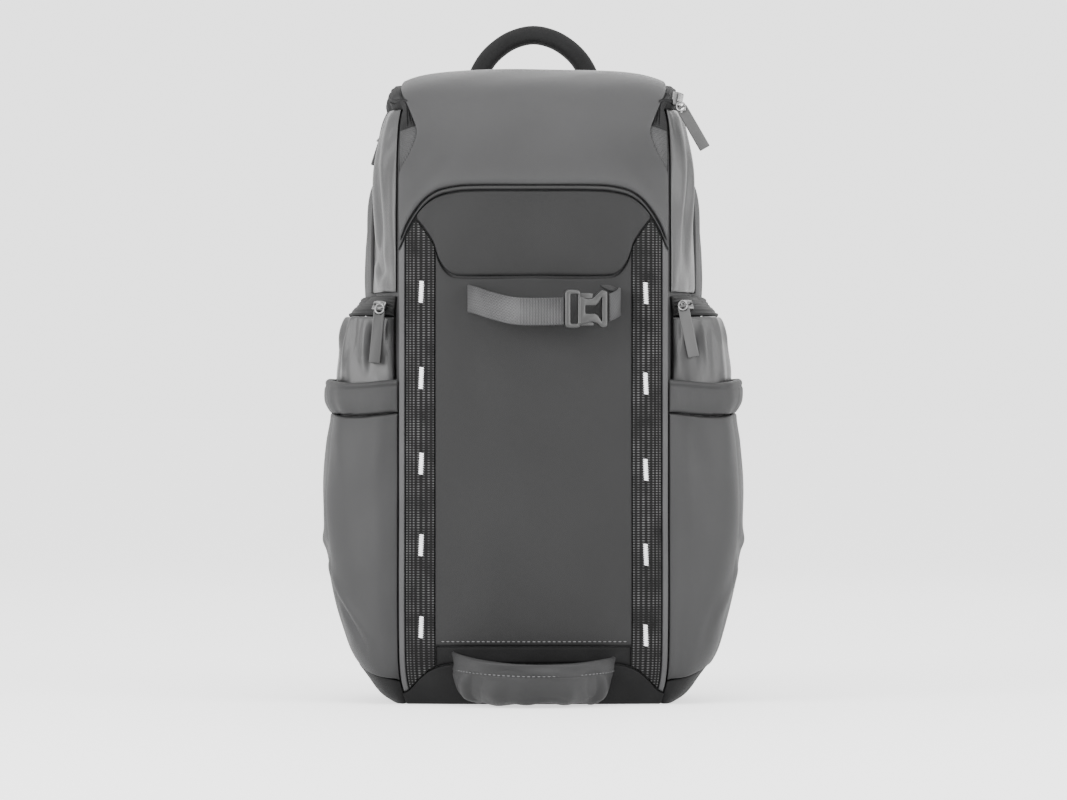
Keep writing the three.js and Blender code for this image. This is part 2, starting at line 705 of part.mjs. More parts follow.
// The piping down the side seam.
function sidePiping(side) {
  const surface = (u, v) => {
    const z = mix(SIDE_PANEL_FOOT, SIDE_PANEL_TOP - SEAM_GAP, v);
    return sidePoint(side, mix(0.985, 1.03, u), z);
  };
  return sheetSolid(surface, { across: 1, along: 6, thickness: SIDE_PIPING_THICKNESS, lift: GAP });
}

// A point of a side pocket's inner face: reach is its half width at that height, and inner how
// far the pocket sits inside the outermost one.
function pocketPoint(side, round, z, reach, inner = 0) {
  const plan = pocketPlan(round);
  const frontSeam = sidePoint(1, inner / (FRONT_DEPTH + SEAM_Y), z).x + SEAM_GAP;
  const rearSeam = sidePoint(1, 2, z).x + SEAM_GAP;
  const anchor = round < POCKET_WIDEST ? frontSeam : rearSeam;
  const y = mix(-foreAt(z) + FRONT_CROWN + inner, POCKET_REAR_Y - inner, plan.back);
  return new THREE.Vector3(side * mix(anchor, Math.max(reach, rearSeam + GAP), plan.out), y, z);
}

const slipReach = (z) => slipOutline(z / CUFF_TOP).half * POCKET_HALF_WIDTH;
const upperReach = (z) => upperOutline(z / UPPER_POCKET_TOP).half * UPPER_POCKET_HALF_WIDTH;
const cornerHeight = (round) => cornerSeam(round).height * BASE_SEAM_HEIGHT;

// The zipped pocket on the side: one bulging wall that closes to the body behind the cuff.
function sidePocket(side) {
  const surface = (u, v) => {
    const z = mix(UPPER_POCKET_BOTTOM, UPPER_POCKET_TOP, v);
    return pocketPoint(side, u, z, upperReach(z) - PANEL_THICKNESS, UPPER_POCKET_INSET);
  };
  return sheetSolid(surface, { across: 12, along: 6, thickness: PANEL_THICKNESS });
}

// The zip band over the pocket, from its top edge in to the body.
function zipBandPoint(side, u, v) {
  const top = UPPER_POCKET_TOP + GAP;
  const outer = pocketPoint(side, u, top, upperReach(top) - PANEL_THICKNESS, UPPER_POCKET_INSET);
  const inner = sidePoint(side, mix(0.06, 1.95, u), POCKET_ZIP_TOP);
  return outer.lerp(inner, v);
}

function pocketZip(side) {
  const surface = (u, v) => zipBandPoint(side, u, v);
  return sheetSolid(surface, { across: 12, along: 2, thickness: PANEL_THICKNESS, lift: GAP });
}

// The gathered stretch cuff round the mouth of the slip pocket.
function pocketCuff(side) {
  const surface = (u, v) => {
    const z = mix(CUFF_BOTTOM, CUFF_TOP, v);
    return pocketPoint(side, u, z, slipReach(z) - CUFF_THICKNESS);
  };
  return sheetSolid(surface, { across: 12, along: 3, thickness: CUFF_THICKNESS });
}

// The slip pocket's wall from its bottom seam to the cuff.
function slipPocket(side) {
  const surface = (u, v) => {
    const z = mix(cornerHeight(u), CUFF_BOTTOM - SEAM_GAP, v);
    return pocketPoint(side, u, z, slipReach(z) - PANEL_THICKNESS);
  };
  return sheetSolid(surface, { across: 12, along: 7, thickness: PANEL_THICKNESS });
}

// The darker corner panel that closes the slip pocket down to the base.
function pocketCorner(side) {
  const surface = (u, v) => {
    const z = mix(BASE_THICKNESS, cornerHeight(u) - SEAM_GAP, v);
    return pocketPoint(side, u, z, slipReach(z) - PANEL_THICKNESS);
  };
  return sheetSolid(surface, { across: 12, along: 3, thickness: PANEL_THICKNESS });
}

// A slab with rounded ends and eased edges, its length along Z and its flat faces along Y.
function roundedSlab(width, length, thickness) {
  const bevel = thickness * 0.2;
  const w = width / 2 - bevel;
  const l = length / 2 - bevel;
  const r = Math.min(w, l) * 0.45;
  const outline = new THREE.Shape();
  outline.moveTo(-w + r, -l);
  outline.lineTo(w - r, -l);
  outline.quadraticCurveTo(w, -l, w, -l + r);
  outline.lineTo(w, l - r);
  outline.quadraticCurveTo(w, l, w - r, l);
  outline.lineTo(-w + r, l);
  outline.quadraticCurveTo(-w, l, -w, l - r);
  outline.lineTo(-w, -l + r);
  outline.quadraticCurveTo(-w, -l, -w + r, -l);
  const depth = thickness - 2 * bevel;
  const geometry = new THREE.ExtrudeGeometry(outline, {
    depth, bevelEnabled: true, bevelSize: bevel, bevelThickness: bevel, bevelSegments: 1, curveSegments: 1,
  });
  geometry.translate(0, 0, -depth / 2);
  geometry.rotateX(Math.PI / 2);
  return geometry;
}

// Turns a slab so that its length runs along one direction and its flat face looks along another.
function layFlat(mesh, lengthway, facing) {
  const z = lengthway.clone().normalize();
  const x = facing.clone().cross(z).normalize();
  const y = z.clone().cross(x);
  mesh.quaternion.setFromRotationMatrix(new THREE.Matrix4().makeBasis(x, y, z));
}

// How far a turned slab's box reaches from its middle along a direction; its eased corners
// stop short of that by CORNER_EASE.
function slabReach(mesh, sizes, direction) {
  const local = direction.clone().applyQuaternion(mesh.quaternion.clone().invert());
  return (Math.abs(local.x) * sizes.x + Math.abs(local.y) * sizes.y + Math.abs(local.z) * sizes.z) / 2;
}

// A zip slider on a surface at u and v, and the pull that hangs before it: lean is the pull's
// tilt away from the body, and swing its tilt to the front.
function zipPull({ name, surface, u, v, seat, side, lean, swing, facing, length, material }) {
  const normal = normalOf(surface, u, v);
  const seatPoint = surface(u, v);
  if (normal.dot(seatPoint.clone().sub(BODY_CORE)) < 0) normal.negate();
  const along = surface(u + 0.02, v).sub(seatPoint);
  const sizes = new THREE.Vector3(SLIDER_WIDTH, SLIDER_THICKNESS, SLIDER_LENGTH);
  const slider = addPiece(`${name}_slider`, roundedSlab(sizes.x, sizes.z, sizes.y), zipMetal());
  slider.position.copy(seatPoint).addScaledVector(normal, seat + SLIDER_THICKNESS / 2);
  layFlat(slider, along, normal);
  const down = new THREE.Vector3(side * Math.sin(lean), -Math.sin(swing), -Math.cos(lean)).normalize();
  const pull = addPiece(`${name}_pull`, roundedSlab(PULL_WIDTH, length, PULL_THICKNESS), material());
  const before = slabReach(slider, sizes, facing) + PULL_THICKNESS / 2 - CORNER_EASE;
  pull.position.copy(slider.position).addScaledVector(facing, before);
  pull.position.addScaledVector(down, length / 2 - PULL_WIDTH / 2);
  layFlat(pull, down, facing);
}

// A strap standing on edge along a middle line.
function webbingStrap(middle, steps) {
  const surface = (u, v) => middle(u).add(new THREE.Vector3(0, 0, (v - 0.5) * STRAP_HEIGHT));
  return sheetSolid(surface, { across: steps, along: 1, thickness: STRAP_THICKNESS });
}

// The load strap stands off the front in a low arch, from its left foot to the buckle.
function strapMiddle(t) {
  const row = strapRoute(t);
  const x = mix(STRAP_LEFT_X, BUCKLE_LEFT_X - GAP, t);
  const z = BUCKLE_Z - 2 + row.rise * STRAP_HEIGHT;
  const standOff = row.off * STRAP_STAND_OFF + PANEL_THICKNESS + SEAM_GAP;
  return frontPoint(x, z).add(new THREE.Vector3(0, -standOff, 0));
}

// The strap's short tail from the buckle back to the front panel.
function tailMiddle(t) {
  const x = mix(BUCKLE_LEFT_X + BUCKLE_LENGTH + GAP, STRAP_RIGHT_X, Math.sin(t * Math.PI / 2));
  const off = mix(STRAP_STAND_OFF * 0.75, 0, t) + PANEL_THICKNESS + SEAM_GAP;
  return frontPoint(x, BUCKLE_Z + mix(1, 6, t)).add(new THREE.Vector3(0, -off, 0));
}

// One half of the side-release buckle as a plate with its openings, flat faces along Y.
function bucklePlate(left, right, openings) {
  const half = BUCKLE_HEIGHT / 2;
  const ease = 3;
  const outline = new THREE.Shape();
  outline.moveTo(left + ease, -half);
  outline.lineTo(right - ease, -half);
  outline.lineTo(right, -half + ease);
  outline.lineTo(right, half - ease);
  outline.lineTo(right - ease, half);
  outline.lineTo(left + ease, half);
  outline.lineTo(left, half - ease);
  outline.lineTo(left, -half + ease);
  outline.closePath();
  for (const [fromX, toX, fromZ, toZ] of openings) {
    const hole = new THREE.Path();
    hole.moveTo(fromX, fromZ);
    hole.lineTo(toX, fromZ);
    hole.lineTo(toX, toZ);
    hole.lineTo(fromX, toZ);
    hole.closePath();
    outline.holes.push(hole);
  }
  const geometry = new THREE.ExtrudeGeometry(outline, { depth: BUCKLE_THICKNESS, bevelEnabled: false });
  geometry.translate(0, 0, -BUCKLE_THICKNESS / 2);
  geometry.rotateX(Math.PI / 2);
  return geometry;
}

// The fastened buckle: the socket takes the strap, the prongs hold its tail.
function addBuckle() {
  const start = strapMiddle(1);
  const end = tailMiddle(0);
  const turn = Math.atan2(end.y - start.y, end.x - start.x);
  const split = BUCKLE_LENGTH * 0.55;
  const rail = BUCKLE_HEIGHT * 0.14;
  const half = BUCKLE_HEIGHT / 2;
  const window = [split * 0.5, split * 0.85];
  const socket = bucklePlate(0, split, [[...window, -half + rail, -rail], [...window, rail, half - rail]]);
  const slot = [split + BUCKLE_LENGTH * 0.2, BUCKLE_LENGTH * 0.86, -half + rail, half - rail];
  const prongs = bucklePlate(split + GAP, BUCKLE_LENGTH, [slot]);
  for (const [name, geometry] of [["buckle_socket", socket], ["buckle_prongs", prongs]]) {
    const plate = addPiece(name, geometry, greyPlastic());
    plate.position.set(start.x + GAP, start.y, BUCKLE_Z);
    plate.rotation.z = turn;
  }
}

// The fold-out cup at the foot of the front: a U-shaped wall that turns in to a floor.
function footCup() {
  const surface = (u, v) => {
    const row = cupSection(v);
    const angle = mix(-Math.PI / 2, Math.PI / 2, u);
    const x = row.half * CUP_HALF_WIDTH * Math.sin(angle);
    const forward = row.forward * CUP_FORWARD * Math.sqrt(Math.cos(angle) ** 2 + 1e-9);
    const z = row.height * CUP_HEIGHT;
    const sewnTo = onFront(x, z).y - BASE_THICKNESS - 3 * GAP;
    return new THREE.Vector3(x, sewnTo - forward, z);
  };
  const inside = new THREE.Vector3(0, -foreAt(0) - CUP_FORWARD * 0.3, CUP_HEIGHT);
  return sheetSolid(surface, { across: 14, along: 6, thickness: CUP_THICKNESS, awayFrom: inside });
}

// The padded grab handle: an arch with both feet sewn to the back of the body.
function carryHandle() {
  const y = BACK_DEPTH * 1.026 + LID_THICKNESS + 2 * GAP + HANDLE_DEPTH / 2;
  const rise = HANDLE_TOP - HANDLE_SECTION / 2;
  const middle = (t) => {
    const angle = mix(Math.PI, 0, (t - 0.25) / 0.5);
    const arch = t > 0.25 && t < 0.75;
    const spring = rise - HANDLE_HALF_SPAN;
    const side = t < 0.5 ? -1 : 1;
    const leg = Math.min(t, 1 - t) / 0.25;
    if (!arch) return new THREE.Vector3(side * HANDLE_HALF_SPAN, y, mix(HANDLE_FOOT_HEIGHT, spring, leg));
    const up = spring + HANDLE_HALF_SPAN * Math.sin(angle);
    return new THREE.Vector3(HANDLE_HALF_SPAN * Math.cos(angle), y, up);
  };
  const steps = 18;
  const sides = 8;
  const rings = [];
  for (let i = 0; i <= steps; i += 1) {
    const t = i / steps;
    const along = middle(Math.min(t + 1e-3, 1)).sub(middle(Math.max(t - 1e-3, 0))).normalize();
    const outward = new THREE.Vector3(along.z, 0, -along.x);
    const ring = [];
    for (let k = 0; k < sides; k += 1) {
      const turn = (k + 0.5) * 2 * Math.PI / sides;
      const point = middle(t).addScaledVector(outward, -Math.cos(turn) * HANDLE_SECTION / 2);
      point.y += Math.sin(turn) * HANDLE_DEPTH / 2;
      ring.push(point);
    }
    rings.push(ring);
  }
  return ringSolid(rings);
}

// The back pad: a firm foam panel with a flat middle and eased edges.
function backPad() {
  const ease = 0.12;
  const edge = (t) => THREE.MathUtils.smoothstep(Math.min(t, 1 - t), -0.02, ease);
  const surface = (u, v) => {
    const corner = 1 - 0.1 * (2 * v - 1) ** 6;
    const x = mix(-PAD_HALF_WIDTH, PAD_HALF_WIDTH, u) * corner;
    return new THREE.Vector3(x, BACK_DEPTH, mix(PAD_BOTTOM, PAD_TOP, v));
  };
  const thickness = (u, v) => PAD_THICKNESS * Math.sqrt(edge(u) * edge(v));
  return sheetSolid(surface, { across: 8, along: 9, thickness, lift: GAP });
}

const backFace = BACK_DEPTH + PAD_THICKNESS + 2 * GAP;

// A shoulder strap's middle line: from the body's upper back out over the shoulder and down.
function shoulderMiddle(side, t) {
  const row = shoulderRoute(t);
  const x = mix(SHOULDER_TOP_X, SHOULDER_END_X, row.side);
  const y = backFace + row.off * SHOULDER_STAND_OFF;
  return new THREE.Vector3(side * x, y, mix(SHOULDER_TOP_HEIGHT, SHOULDER_END_HEIGHT, t));
}

function shoulderStrap(side) {
  const surface = (u, v) => {
    const half = shoulderRoute(v).half * SHOULDER_HALF_WIDTH;
    return shoulderMiddle(side, v).add(new THREE.Vector3(mix(-half, half, u), 0, 0));
  };
  const thickness = (u) => SHOULDER_THICKNESS * mix(0.45, 1, Math.sin(Math.PI * u) ** 0.5);
  return sheetSolid(surface, { across: 4, along: 12, thickness });
}

// The webbing that joins a shoulder strap's lower end to the body's lower corner.
function shoulderTail(side) {
  const start = shoulderMiddle(side, 1);
  start.z -= ADJUSTER_DROP + ADJUSTER_LENGTH + GAP;
  const end = new THREE.Vector3(side * TAIL_FOOT_X, BACK_DEPTH + GAP, TAIL_FOOT_HEIGHT);
  const surface = (u, v) => {
    const across = new THREE.Vector3(mix(-TAIL_HALF_WIDTH, TAIL_HALF_WIDTH, u), 0, 0);
    return start.clone().lerp(end, v).add(across);
  };
  return sheetSolid(surface, { across: 1, along: 4, thickness: TAIL_THICKNESS });
}

// The ladder adjuster between the padded strap and its webbing.
function addAdjuster(side, name) {
  const geometry = roundedSlab(2 * TAIL_HALF_WIDTH + 6, ADJUSTER_LENGTH, SHOULDER_THICKNESS * 0.6);
  const adjuster = addPiece(`adjuster_${name}`, geometry, darkPlastic());
  const middle = new THREE.Vector3(0, TAIL_THICKNESS, -ADJUSTER_DROP - ADJUSTER_LENGTH / 2);
  adjuster.position.copy(shoulderMiddle(side, 1)).add(middle);
}

// The bag, piece by piece
addPiece("main_shell", bodyShell(), darkCloth());
addPiece("base_panel", basePanel(), darkCloth());
addPiece("lid", lidPanel(), coatedGrey());
addPiece("lid_piping", lidPiping(), pipingTrim());
addPiece("dome_panel", domePanel(), panelGrey());
addPiece("middle_panel", middlePanel(), panelGrey());
addPiece("lower_strip", lowerStrip(), darkCloth());
for (const [side, name] of [[-1, "left"], [1, "right"]]) {
  addPiece(`band_${name}`, attachmentBand(side), bandWebbing());
  addPiece(`border_${name}`, bandBorder(side), nylonGrey());
  addPiece(`gusset_${name}`, lidGusset(side), ribbedCloth());
  addPiece(`side_panel_${name}`, sidePanel(side), nylonGrey());
  addPiece(`side_piping_${name}`, sidePiping(side), pipingTrim());
  addPiece(`side_pocket_${name}`, sidePocket(side), nylonGrey());
  addPiece(`pocket_zip_${name}`, pocketZip(side), ribbedCloth());
  addPiece(`cuff_${name}`, pocketCuff(side), coatedGrey());
  addPiece(`slip_pocket_${name}`, slipPocket(side), nylonGrey());
  addPiece(`corner_${name}`, pocketCorner(side), darkCloth());
  addPiece(`shoulder_strap_${name}`, shoulderStrap(side), paddedMesh());
  addPiece(`strap_webbing_${name}`, shoulderTail(side), bandWebbing());
  addAdjuster(side, name);
}
addPiece("load_strap", webbingStrap(strapMiddle, 14), strapWebbing());
addPiece("strap_end", webbingStrap(tailMiddle, 5), strapWebbing());
addBuckle();
addPiece("foot_cup", footCup(), panelGrey());
addPiece("carry_handle", carryHandle(), darkCloth());
addPiece("back_pad", backPad(), paddedMesh());
const toFront = new THREE.Vector3(0, -1, 0);
const toLeft = new THREE.Vector3(-1, 0, 0);
const onBand = PANEL_THICKNESS + 3 * GAP;
const rearZipHeight = SHELL_RIM_HEIGHT - GUSSET_LAP - SLIDER_LENGTH;
zipPull({
  name: "top_zip",
  surface: (u, v) => gussetPoint(1, u, v), u: 0.5, v: 0.45, seat: onBand + GAP,
  side: 1, lean: 0.54, swing: 0.02, facing: toFront, length: TOP_PULL_LENGTH, material: greyPlastic,
});
zipPull({
  name: "left_zip",
  surface: (u, v) => zipBandPoint(-1, u, v), u: 0.17, v: 0.2, seat: onBand,
  side: -1, lean: 0.09, swing: 0.04, facing: toFront, length: PULL_LENGTH, material: darkPlastic,
});
zipPull({
  name: "right_zip",
  surface: (u, v) => zipBandPoint(1, u, v), u: 0.15, v: 0.25, seat: onBand,
  side: 1, lean: 0.23, swing: 0.04, facing: toFront, length: PULL_LENGTH, material: greyPlastic,
});
zipPull({
  name: "rear_zip",
  surface: (u, v) => sidePoint(-1, 1 + u, v * BODY_HEIGHT), u: 0.45, v: rearZipHeight / BODY_HEIGHT, seat: 0,
  side: -1, lean: 0.3, swing: 0, facing: toLeft, length: REAR_PULL_LENGTH, material: darkPlastic,
});

// Every solid is welded so that each edge is shared by two faces.
for (const mesh of bag.children) {
  mesh.geometry.deleteAttribute("normal");
  mesh.geometry.deleteAttribute("uv");
  mesh.geometry = mergeVertices(mesh.geometry, 1e-4);
  mesh.geometry.computeVertexNormals();
}

export default bag;
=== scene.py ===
import math
import bmesh
import bpy
import numpy as np
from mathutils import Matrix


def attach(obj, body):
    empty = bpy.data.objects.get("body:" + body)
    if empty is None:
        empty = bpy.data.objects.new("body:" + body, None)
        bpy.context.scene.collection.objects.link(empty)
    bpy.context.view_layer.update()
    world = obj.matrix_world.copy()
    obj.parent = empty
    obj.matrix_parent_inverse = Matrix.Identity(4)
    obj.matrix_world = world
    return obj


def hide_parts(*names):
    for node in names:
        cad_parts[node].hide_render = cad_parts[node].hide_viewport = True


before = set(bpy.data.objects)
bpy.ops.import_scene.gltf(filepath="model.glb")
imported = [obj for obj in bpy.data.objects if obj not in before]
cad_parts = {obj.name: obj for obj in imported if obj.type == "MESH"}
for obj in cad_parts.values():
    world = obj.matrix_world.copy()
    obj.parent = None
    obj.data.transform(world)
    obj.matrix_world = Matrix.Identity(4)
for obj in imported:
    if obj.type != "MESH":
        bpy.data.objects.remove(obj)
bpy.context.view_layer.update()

# The view
# A level camera far in front of the bag, as in a catalogue picture, a plain pale floor, and soft
# light from two large screens beside the camera, one above and a weak one behind.
VIEW_DISTANCE = 4.0
VIEW_HEIGHT = 0.223
VIEW_WIDTH = 0.790
VIEW_FROM_Y = -4.04
FLOOR_HALF_SIZE = 60.0
FLOOR_SHADE = 0.45
FLOOR_GLOW = 1.27
STUDIO_GLOW = 2.5
SENSOR_WIDTH = 36.0
WHITE = (1, 1, 1, 1)
LIT_POINT = (0, 0, 0.25)
# Each screen: its name, its place, its size and its power.
SCREENS = [
    ("left_screen", (-1.9, -1.5, 0.9), 1.2, 105),
    ("right_screen", (2.0, -1.4, 0.9), 1.2, 76),
    ("top_screen", (0, -0.9, 2.3), 1.4, 46),
    ("rear_screen", (0.4, 2.2, 1.6), 1.4, 16),
]


def shader(name):
    """A new material's node tree and its Principled shader."""
    material = bpy.data.materials.new(name)
    material.use_nodes = True
    return material, material.node_tree, material.node_tree.nodes["Principled BSDF"]


def add_node(tree, kind, sockets=None, **settings):
    """A node with its settings, and each named or numbered socket linked or given its value."""
    made = tree.nodes.new(kind)
    for key, value in settings.items():
        setattr(made, key, value)
    for key, value in (sockets or {}).items():
        if isinstance(value, bpy.types.NodeSocket):
            tree.links.new(value, made.inputs[key])
        else:
            made.inputs[key].default_value = value
    return made


def math_node(tree, operation, *values):
    """The output of a Math node on the given numbers and sockets."""
    return add_node(tree, "ShaderNodeMath", dict(enumerate(values)), operation=operation).outputs[0]


def noise(tree, place, scale, detail, distortion=0.0):
    """The output of a noise over the piece's own place."""
    sockets = {"Vector": place, "Scale": scale, "Detail": detail, "Distortion": distortion}
    return add_node(tree, "ShaderNodeTexNoise", sockets).outputs[0]


def grey_ramp(tree, share, start, dark, end, light, blue=1.0):
    """Greys from dark at start to light at end, their blue a little stronger or not."""
    ramp = add_node(tree, "ShaderNodeValToRGB", {0: share})
    low, high = ramp.color_ramp.elements
    low.position, low.color = start, (dark, dark, dark * blue, 1)
    high.position, high.color = end, (light, light, light * blue, 1)
    return ramp.outputs[0]


def bumped(tree, height, strength, distance):
    """A Bump node of a height."""
    return add_node(tree, "ShaderNodeBump", {"Height": height, "Strength": strength, "Distance": distance})


camera_data = bpy.data.cameras.new("camera")
camera_data.sensor_width = SENSOR_WIDTH
camera_data.lens = SENSOR_WIDTH * VIEW_DISTANCE / VIEW_WIDTH
camera = bpy.data.objects.new("camera", camera_data)
camera.location = (0, VIEW_FROM_Y, VIEW_HEIGHT)
camera.rotation_euler = (math.pi / 2, 0, 0)
bpy.context.scene.collection.objects.link(camera)
bpy.context.scene.camera = camera

floor_mesh = bpy.data.meshes.new("floor")
corners = [(x * FLOOR_HALF_SIZE, y * FLOOR_HALF_SIZE, 0) for x, y in ((-1, -1), (1, -1), (1, 1), (-1, 1))]
floor_mesh.from_pydata(corners, [], [(0, 1, 2, 3)])
floor = bpy.data.objects.new("floor", floor_mesh)
bpy.context.scene.collection.objects.link(floor)
floor_paint, _, floor_shader = shader("floor_paint")
floor_shader.inputs["Base Color"].default_value = (FLOOR_SHADE, FLOOR_SHADE, FLOOR_SHADE, 1)
floor_shader.inputs["Emission Color"].default_value = WHITE
floor_shader.inputs["Emission Strength"].default_value = FLOOR_GLOW
floor_shader.inputs["Roughness"].default_value = 0.9
floor_mesh.materials.append(floor_paint)


def soft_screen(name, place, aim, size, power):
    """A square area light at a place, turned so that it shines at a point."""
    data = bpy.data.lights.new(name, "AREA")
    data.size = size
    data.energy = power
    lamp = bpy.data.objects.new(name, data)
    lamp.location = place
    away = np.array(place) - np.array(aim)
    lamp.rotation_euler = (
        math.atan2(math.hypot(away[0], away[1]), away[2]), 0, math.atan2(away[1], away[0]) + math.pi / 2)
    bpy.context.scene.collection.objects.link(lamp)


for screen_name, screen_place, screen_size, screen_power in SCREENS:
    soft_screen(screen_name, screen_place, LIT_POINT, screen_size, screen_power)
world = bpy.data.worlds.new("studio")
world.use_nodes = True
world.node_tree.nodes["Background"].inputs["Color"].default_value = WHITE
world.node_tree.nodes["Background"].inputs["Strength"].default_value = STUDIO_GLOW
bpy.context.scene.world = world


# The padded body
# A tall shell of foam between two cloths, sewn from a front, two sides and a back, open at the
# top under the lid. Its sides narrow to the front, and the panels below are all sewn on to it.
BODY_HEIGHT = 0.470
FRONT_HALF_WIDTH = 0.0985
SEAM_HALF_WIDTH = 0.1175
REAR_HALF_WIDTH = 0.128
FRONT_DEPTH = 0.098
BACK_DEPTH = 0.078
SEAM_Y = -0.022
FRONT_CROWN = 0.008
SHELL_WALL = 0.006
SHELL_RIM_HEIGHT = 0.433
SHELL_RIM_ROLL = 0.003
BASE_THICKNESS = 0.003
GAP = 0.0003
SEAM_GAP = 0.0008
BODY_CORE = np.array((0, 0, BODY_HEIGHT / 2))

# Height, then the half widths of the front, the side seams and the rear, each as a share.
BODY_SECTIONS = [
    (0.0, 0.93, 0.8, 0.75), (0.04, 0.985, 0.86, 0.8), (0.1, 1.0, 0.92, 0.87), (0.32, 1.0, 0.96, 0.93),
    (0.63, 1.0, 1.0, 0.99), (0.74, 1.0, 1.0, 0.98), (0.81, 1.0, 0.985, 0.955), (0.86, 1.0, 0.965, 0.87),
    (0.91, 0.99, 0.93, 0.82), (0.945, 0.96, 0.86, 0.78),
]
# Way up the front and over the top, then how far fore, how far aft and how high, as shares.
BODY_PROFILE = [
    (0.0, 0.84, 0, 0.0), (0.04, 0.93, 0, 0.04), (0.1, 0.975, 0, 0.1), (0.3, 1.0, 0, 0.3),
    (0.6, 0.985, 0, 0.6), (0.72, 0.96, 0, 0.72), (0.8, 0.915, 0, 0.8), (0.87, 0.84, 0, 0.87),
    (0.93, 0.72, 0, 0.922), (0.975, 0.56, 0, 0.954), (1.02, 0.36, 0, 0.976), (1.07, 0.12, 0, 0.989),
    (1.14, 0.0, 0.25, 0.991), (1.22, 0.0, 0.74, 0.983), (1.25, 0.0, 0.92, 0.973),
    (1.275, 0.0, 1.01, 0.958), (1.335, 0.0, 1.035, 0.911),
]


def curve_through(rows):
    """A smooth curve through rows of a key and its values: in each span the values follow a cubic
    whose slopes at its ends are those between the neighbouring rows."""
    table = np.array(rows, float)
    keys, values = table[:, 0], table[:, 1:]
    before = np.maximum(np.arange(len(keys)) - 1, 0)
    after = np.minimum(np.arange(len(keys)) + 1, len(keys) - 1)
    slopes = (values[after] - values[before]) / (keys[after] - keys[before])[:, None]

    def at(key):
        key = np.clip(key, keys[0], keys[-1])
        i = np.clip(np.searchsorted(keys, key) - 1, 0, len(keys) - 2)
        span = (keys[i + 1] - keys[i])[..., None]
        t = (key - keys[i])[..., None] / span
        rise, leave, arrive = values[i + 1] - values[i], slopes[i] * span, slopes[i + 1] * span
        square, cube = 3 * rise - 2 * leave - arrive, leave + arrive - 2 * rise
        return np.moveaxis(values[i] + t * leave + t**2 * square + t**3 * cube, -1, 0)
    return at


def smooth_step(t, low, high):
    """0 below low and 1 above high, with a cubic ease between."""
    t = np.clip((t - low) / (high - low), 0, 1)
    return t * t * (3 - 2 * t)


def mix(a, b, t):
    """The value a share t of the way from a to b."""
    return a + (b - a) * t


def points(x, y, z):
    """One array of points from three arrays of coordinates."""
    return np.stack(np.broadcast_arrays(x, y, z), -1).astype(float)


body_section = curve_through(BODY_SECTIONS)
body_profile = curve_through(BODY_PROFILE)
ways = np.linspace(0, 1.1, 1101)
heights_on_way = body_profile(ways)[2] * BODY_HEIGHT


def front_half(z):
    """The half width of the body's front at a height."""
    return body_section(z / BODY_HEIGHT)[0] * FRONT_HALF_WIDTH


def rear_half(z):
    """The half width of the body's rear at a height."""
    return body_section(z / BODY_HEIGHT)[2] * REAR_HALF_WIDTH


def fore_at(z):
    """How far forward the body's middle line is at a height, read back from the profile."""
    return body_profile(np.interp(z, heights_on_way, ways))[0] * FRONT_DEPTH


def front_point(x, z):
    """The body's front, which falls back towards its sides with the square of the width."""
    return points(x, -fore_at(z) + FRONT_CROWN * (x / FRONT_HALF_WIDTH) ** 2, z)


def on_front(x, z):
    """The same, with the place across drawn in where the front narrows."""
    return front_point(x * front_half(z) / FRONT_HALF_WIDTH, z)


def side_point(side, round_, z):
    """The body's side at a height: 0 is the front corner, 1 the side seam and 2 the rear. Ahead of
    the seam it bulges as a half sine, and behind it dips into a groove and then widens."""
    seam = body_section(z / BODY_HEIGHT)[1] * SEAM_HALF_WIDTH
    t = round_ - 1
    ahead_x = mix(front_half(z), seam, round_) + 0.0025 * np.sin(np.pi * np.clip(round_, 0, 1))
    ahead_y = mix(FRONT_CROWN - fore_at(z), SEAM_Y, round_)
    groove = 0.003 * np.sin(np.pi * np.clip(t / 0.3, 0, 1))
    behind_x = mix(seam, rear_half(z), smooth_step(t, 0.1, 0.7)) - groove
    behind_y = mix(SEAM_Y, BACK_DEPTH * 0.6, t)
    x = np.where(t > 0, behind_x, ahead_x)
    return points(side * x, np.where(t > 0, behind_y, ahead_y), z)


def body_ring(z):
    """Half of the body's plan, from the middle of the back to the middle of the front: a flat
    back, a rounded corner, the side and the crowned front; the other half mirrors it."""
    z = z[:, None]
    rear = rear_half(z)
    back = points(np.linspace(0, 0.78, 14)[None, :-1] * rear, BACK_DEPTH, z)
    turn = np.linspace(0, np.pi / 2, 14)[None, :-1]
    corner = points(
        rear * (0.78 + 0.22 * np.sin(turn) ** 0.7), BACK_DEPTH * (0.6 + 0.4 * np.cos(turn) ** 0.7), z)
    side = side_point(1, np.linspace(2, 0, 60)[None, :-1], z)
    front = front_point(np.linspace(1, 0, 24)[None, :] * front_half(z), z)
    half = np.concatenate([back, corner, side, front], 1)
    mirrored = half[:, -2:0:-1] * (-1, 1, 1)
    return np.concatenate([half, mirrored], 1)


def ripples(a, b, height, wavelength, seed, stretch=1.0):
    """The gentle unevenness of soft cloth: a sum of a few sine waves in seeded directions, drawn
    out along b by stretch."""
    rng = np.random.default_rng(seed)
    total = np.zeros(np.broadcast(a, b).shape)
    for angle, phase, size in rng.uniform((0, 0, 0.6), (np.pi, 2 * np.pi, 1.7), (10, 3)):
        way = (a * np.cos(angle) + b * np.sin(angle) / stretch) / (wavelength * size)
        total += np.sin(2 * np.pi * way + phase)
    return height * total / math.sqrt(10)


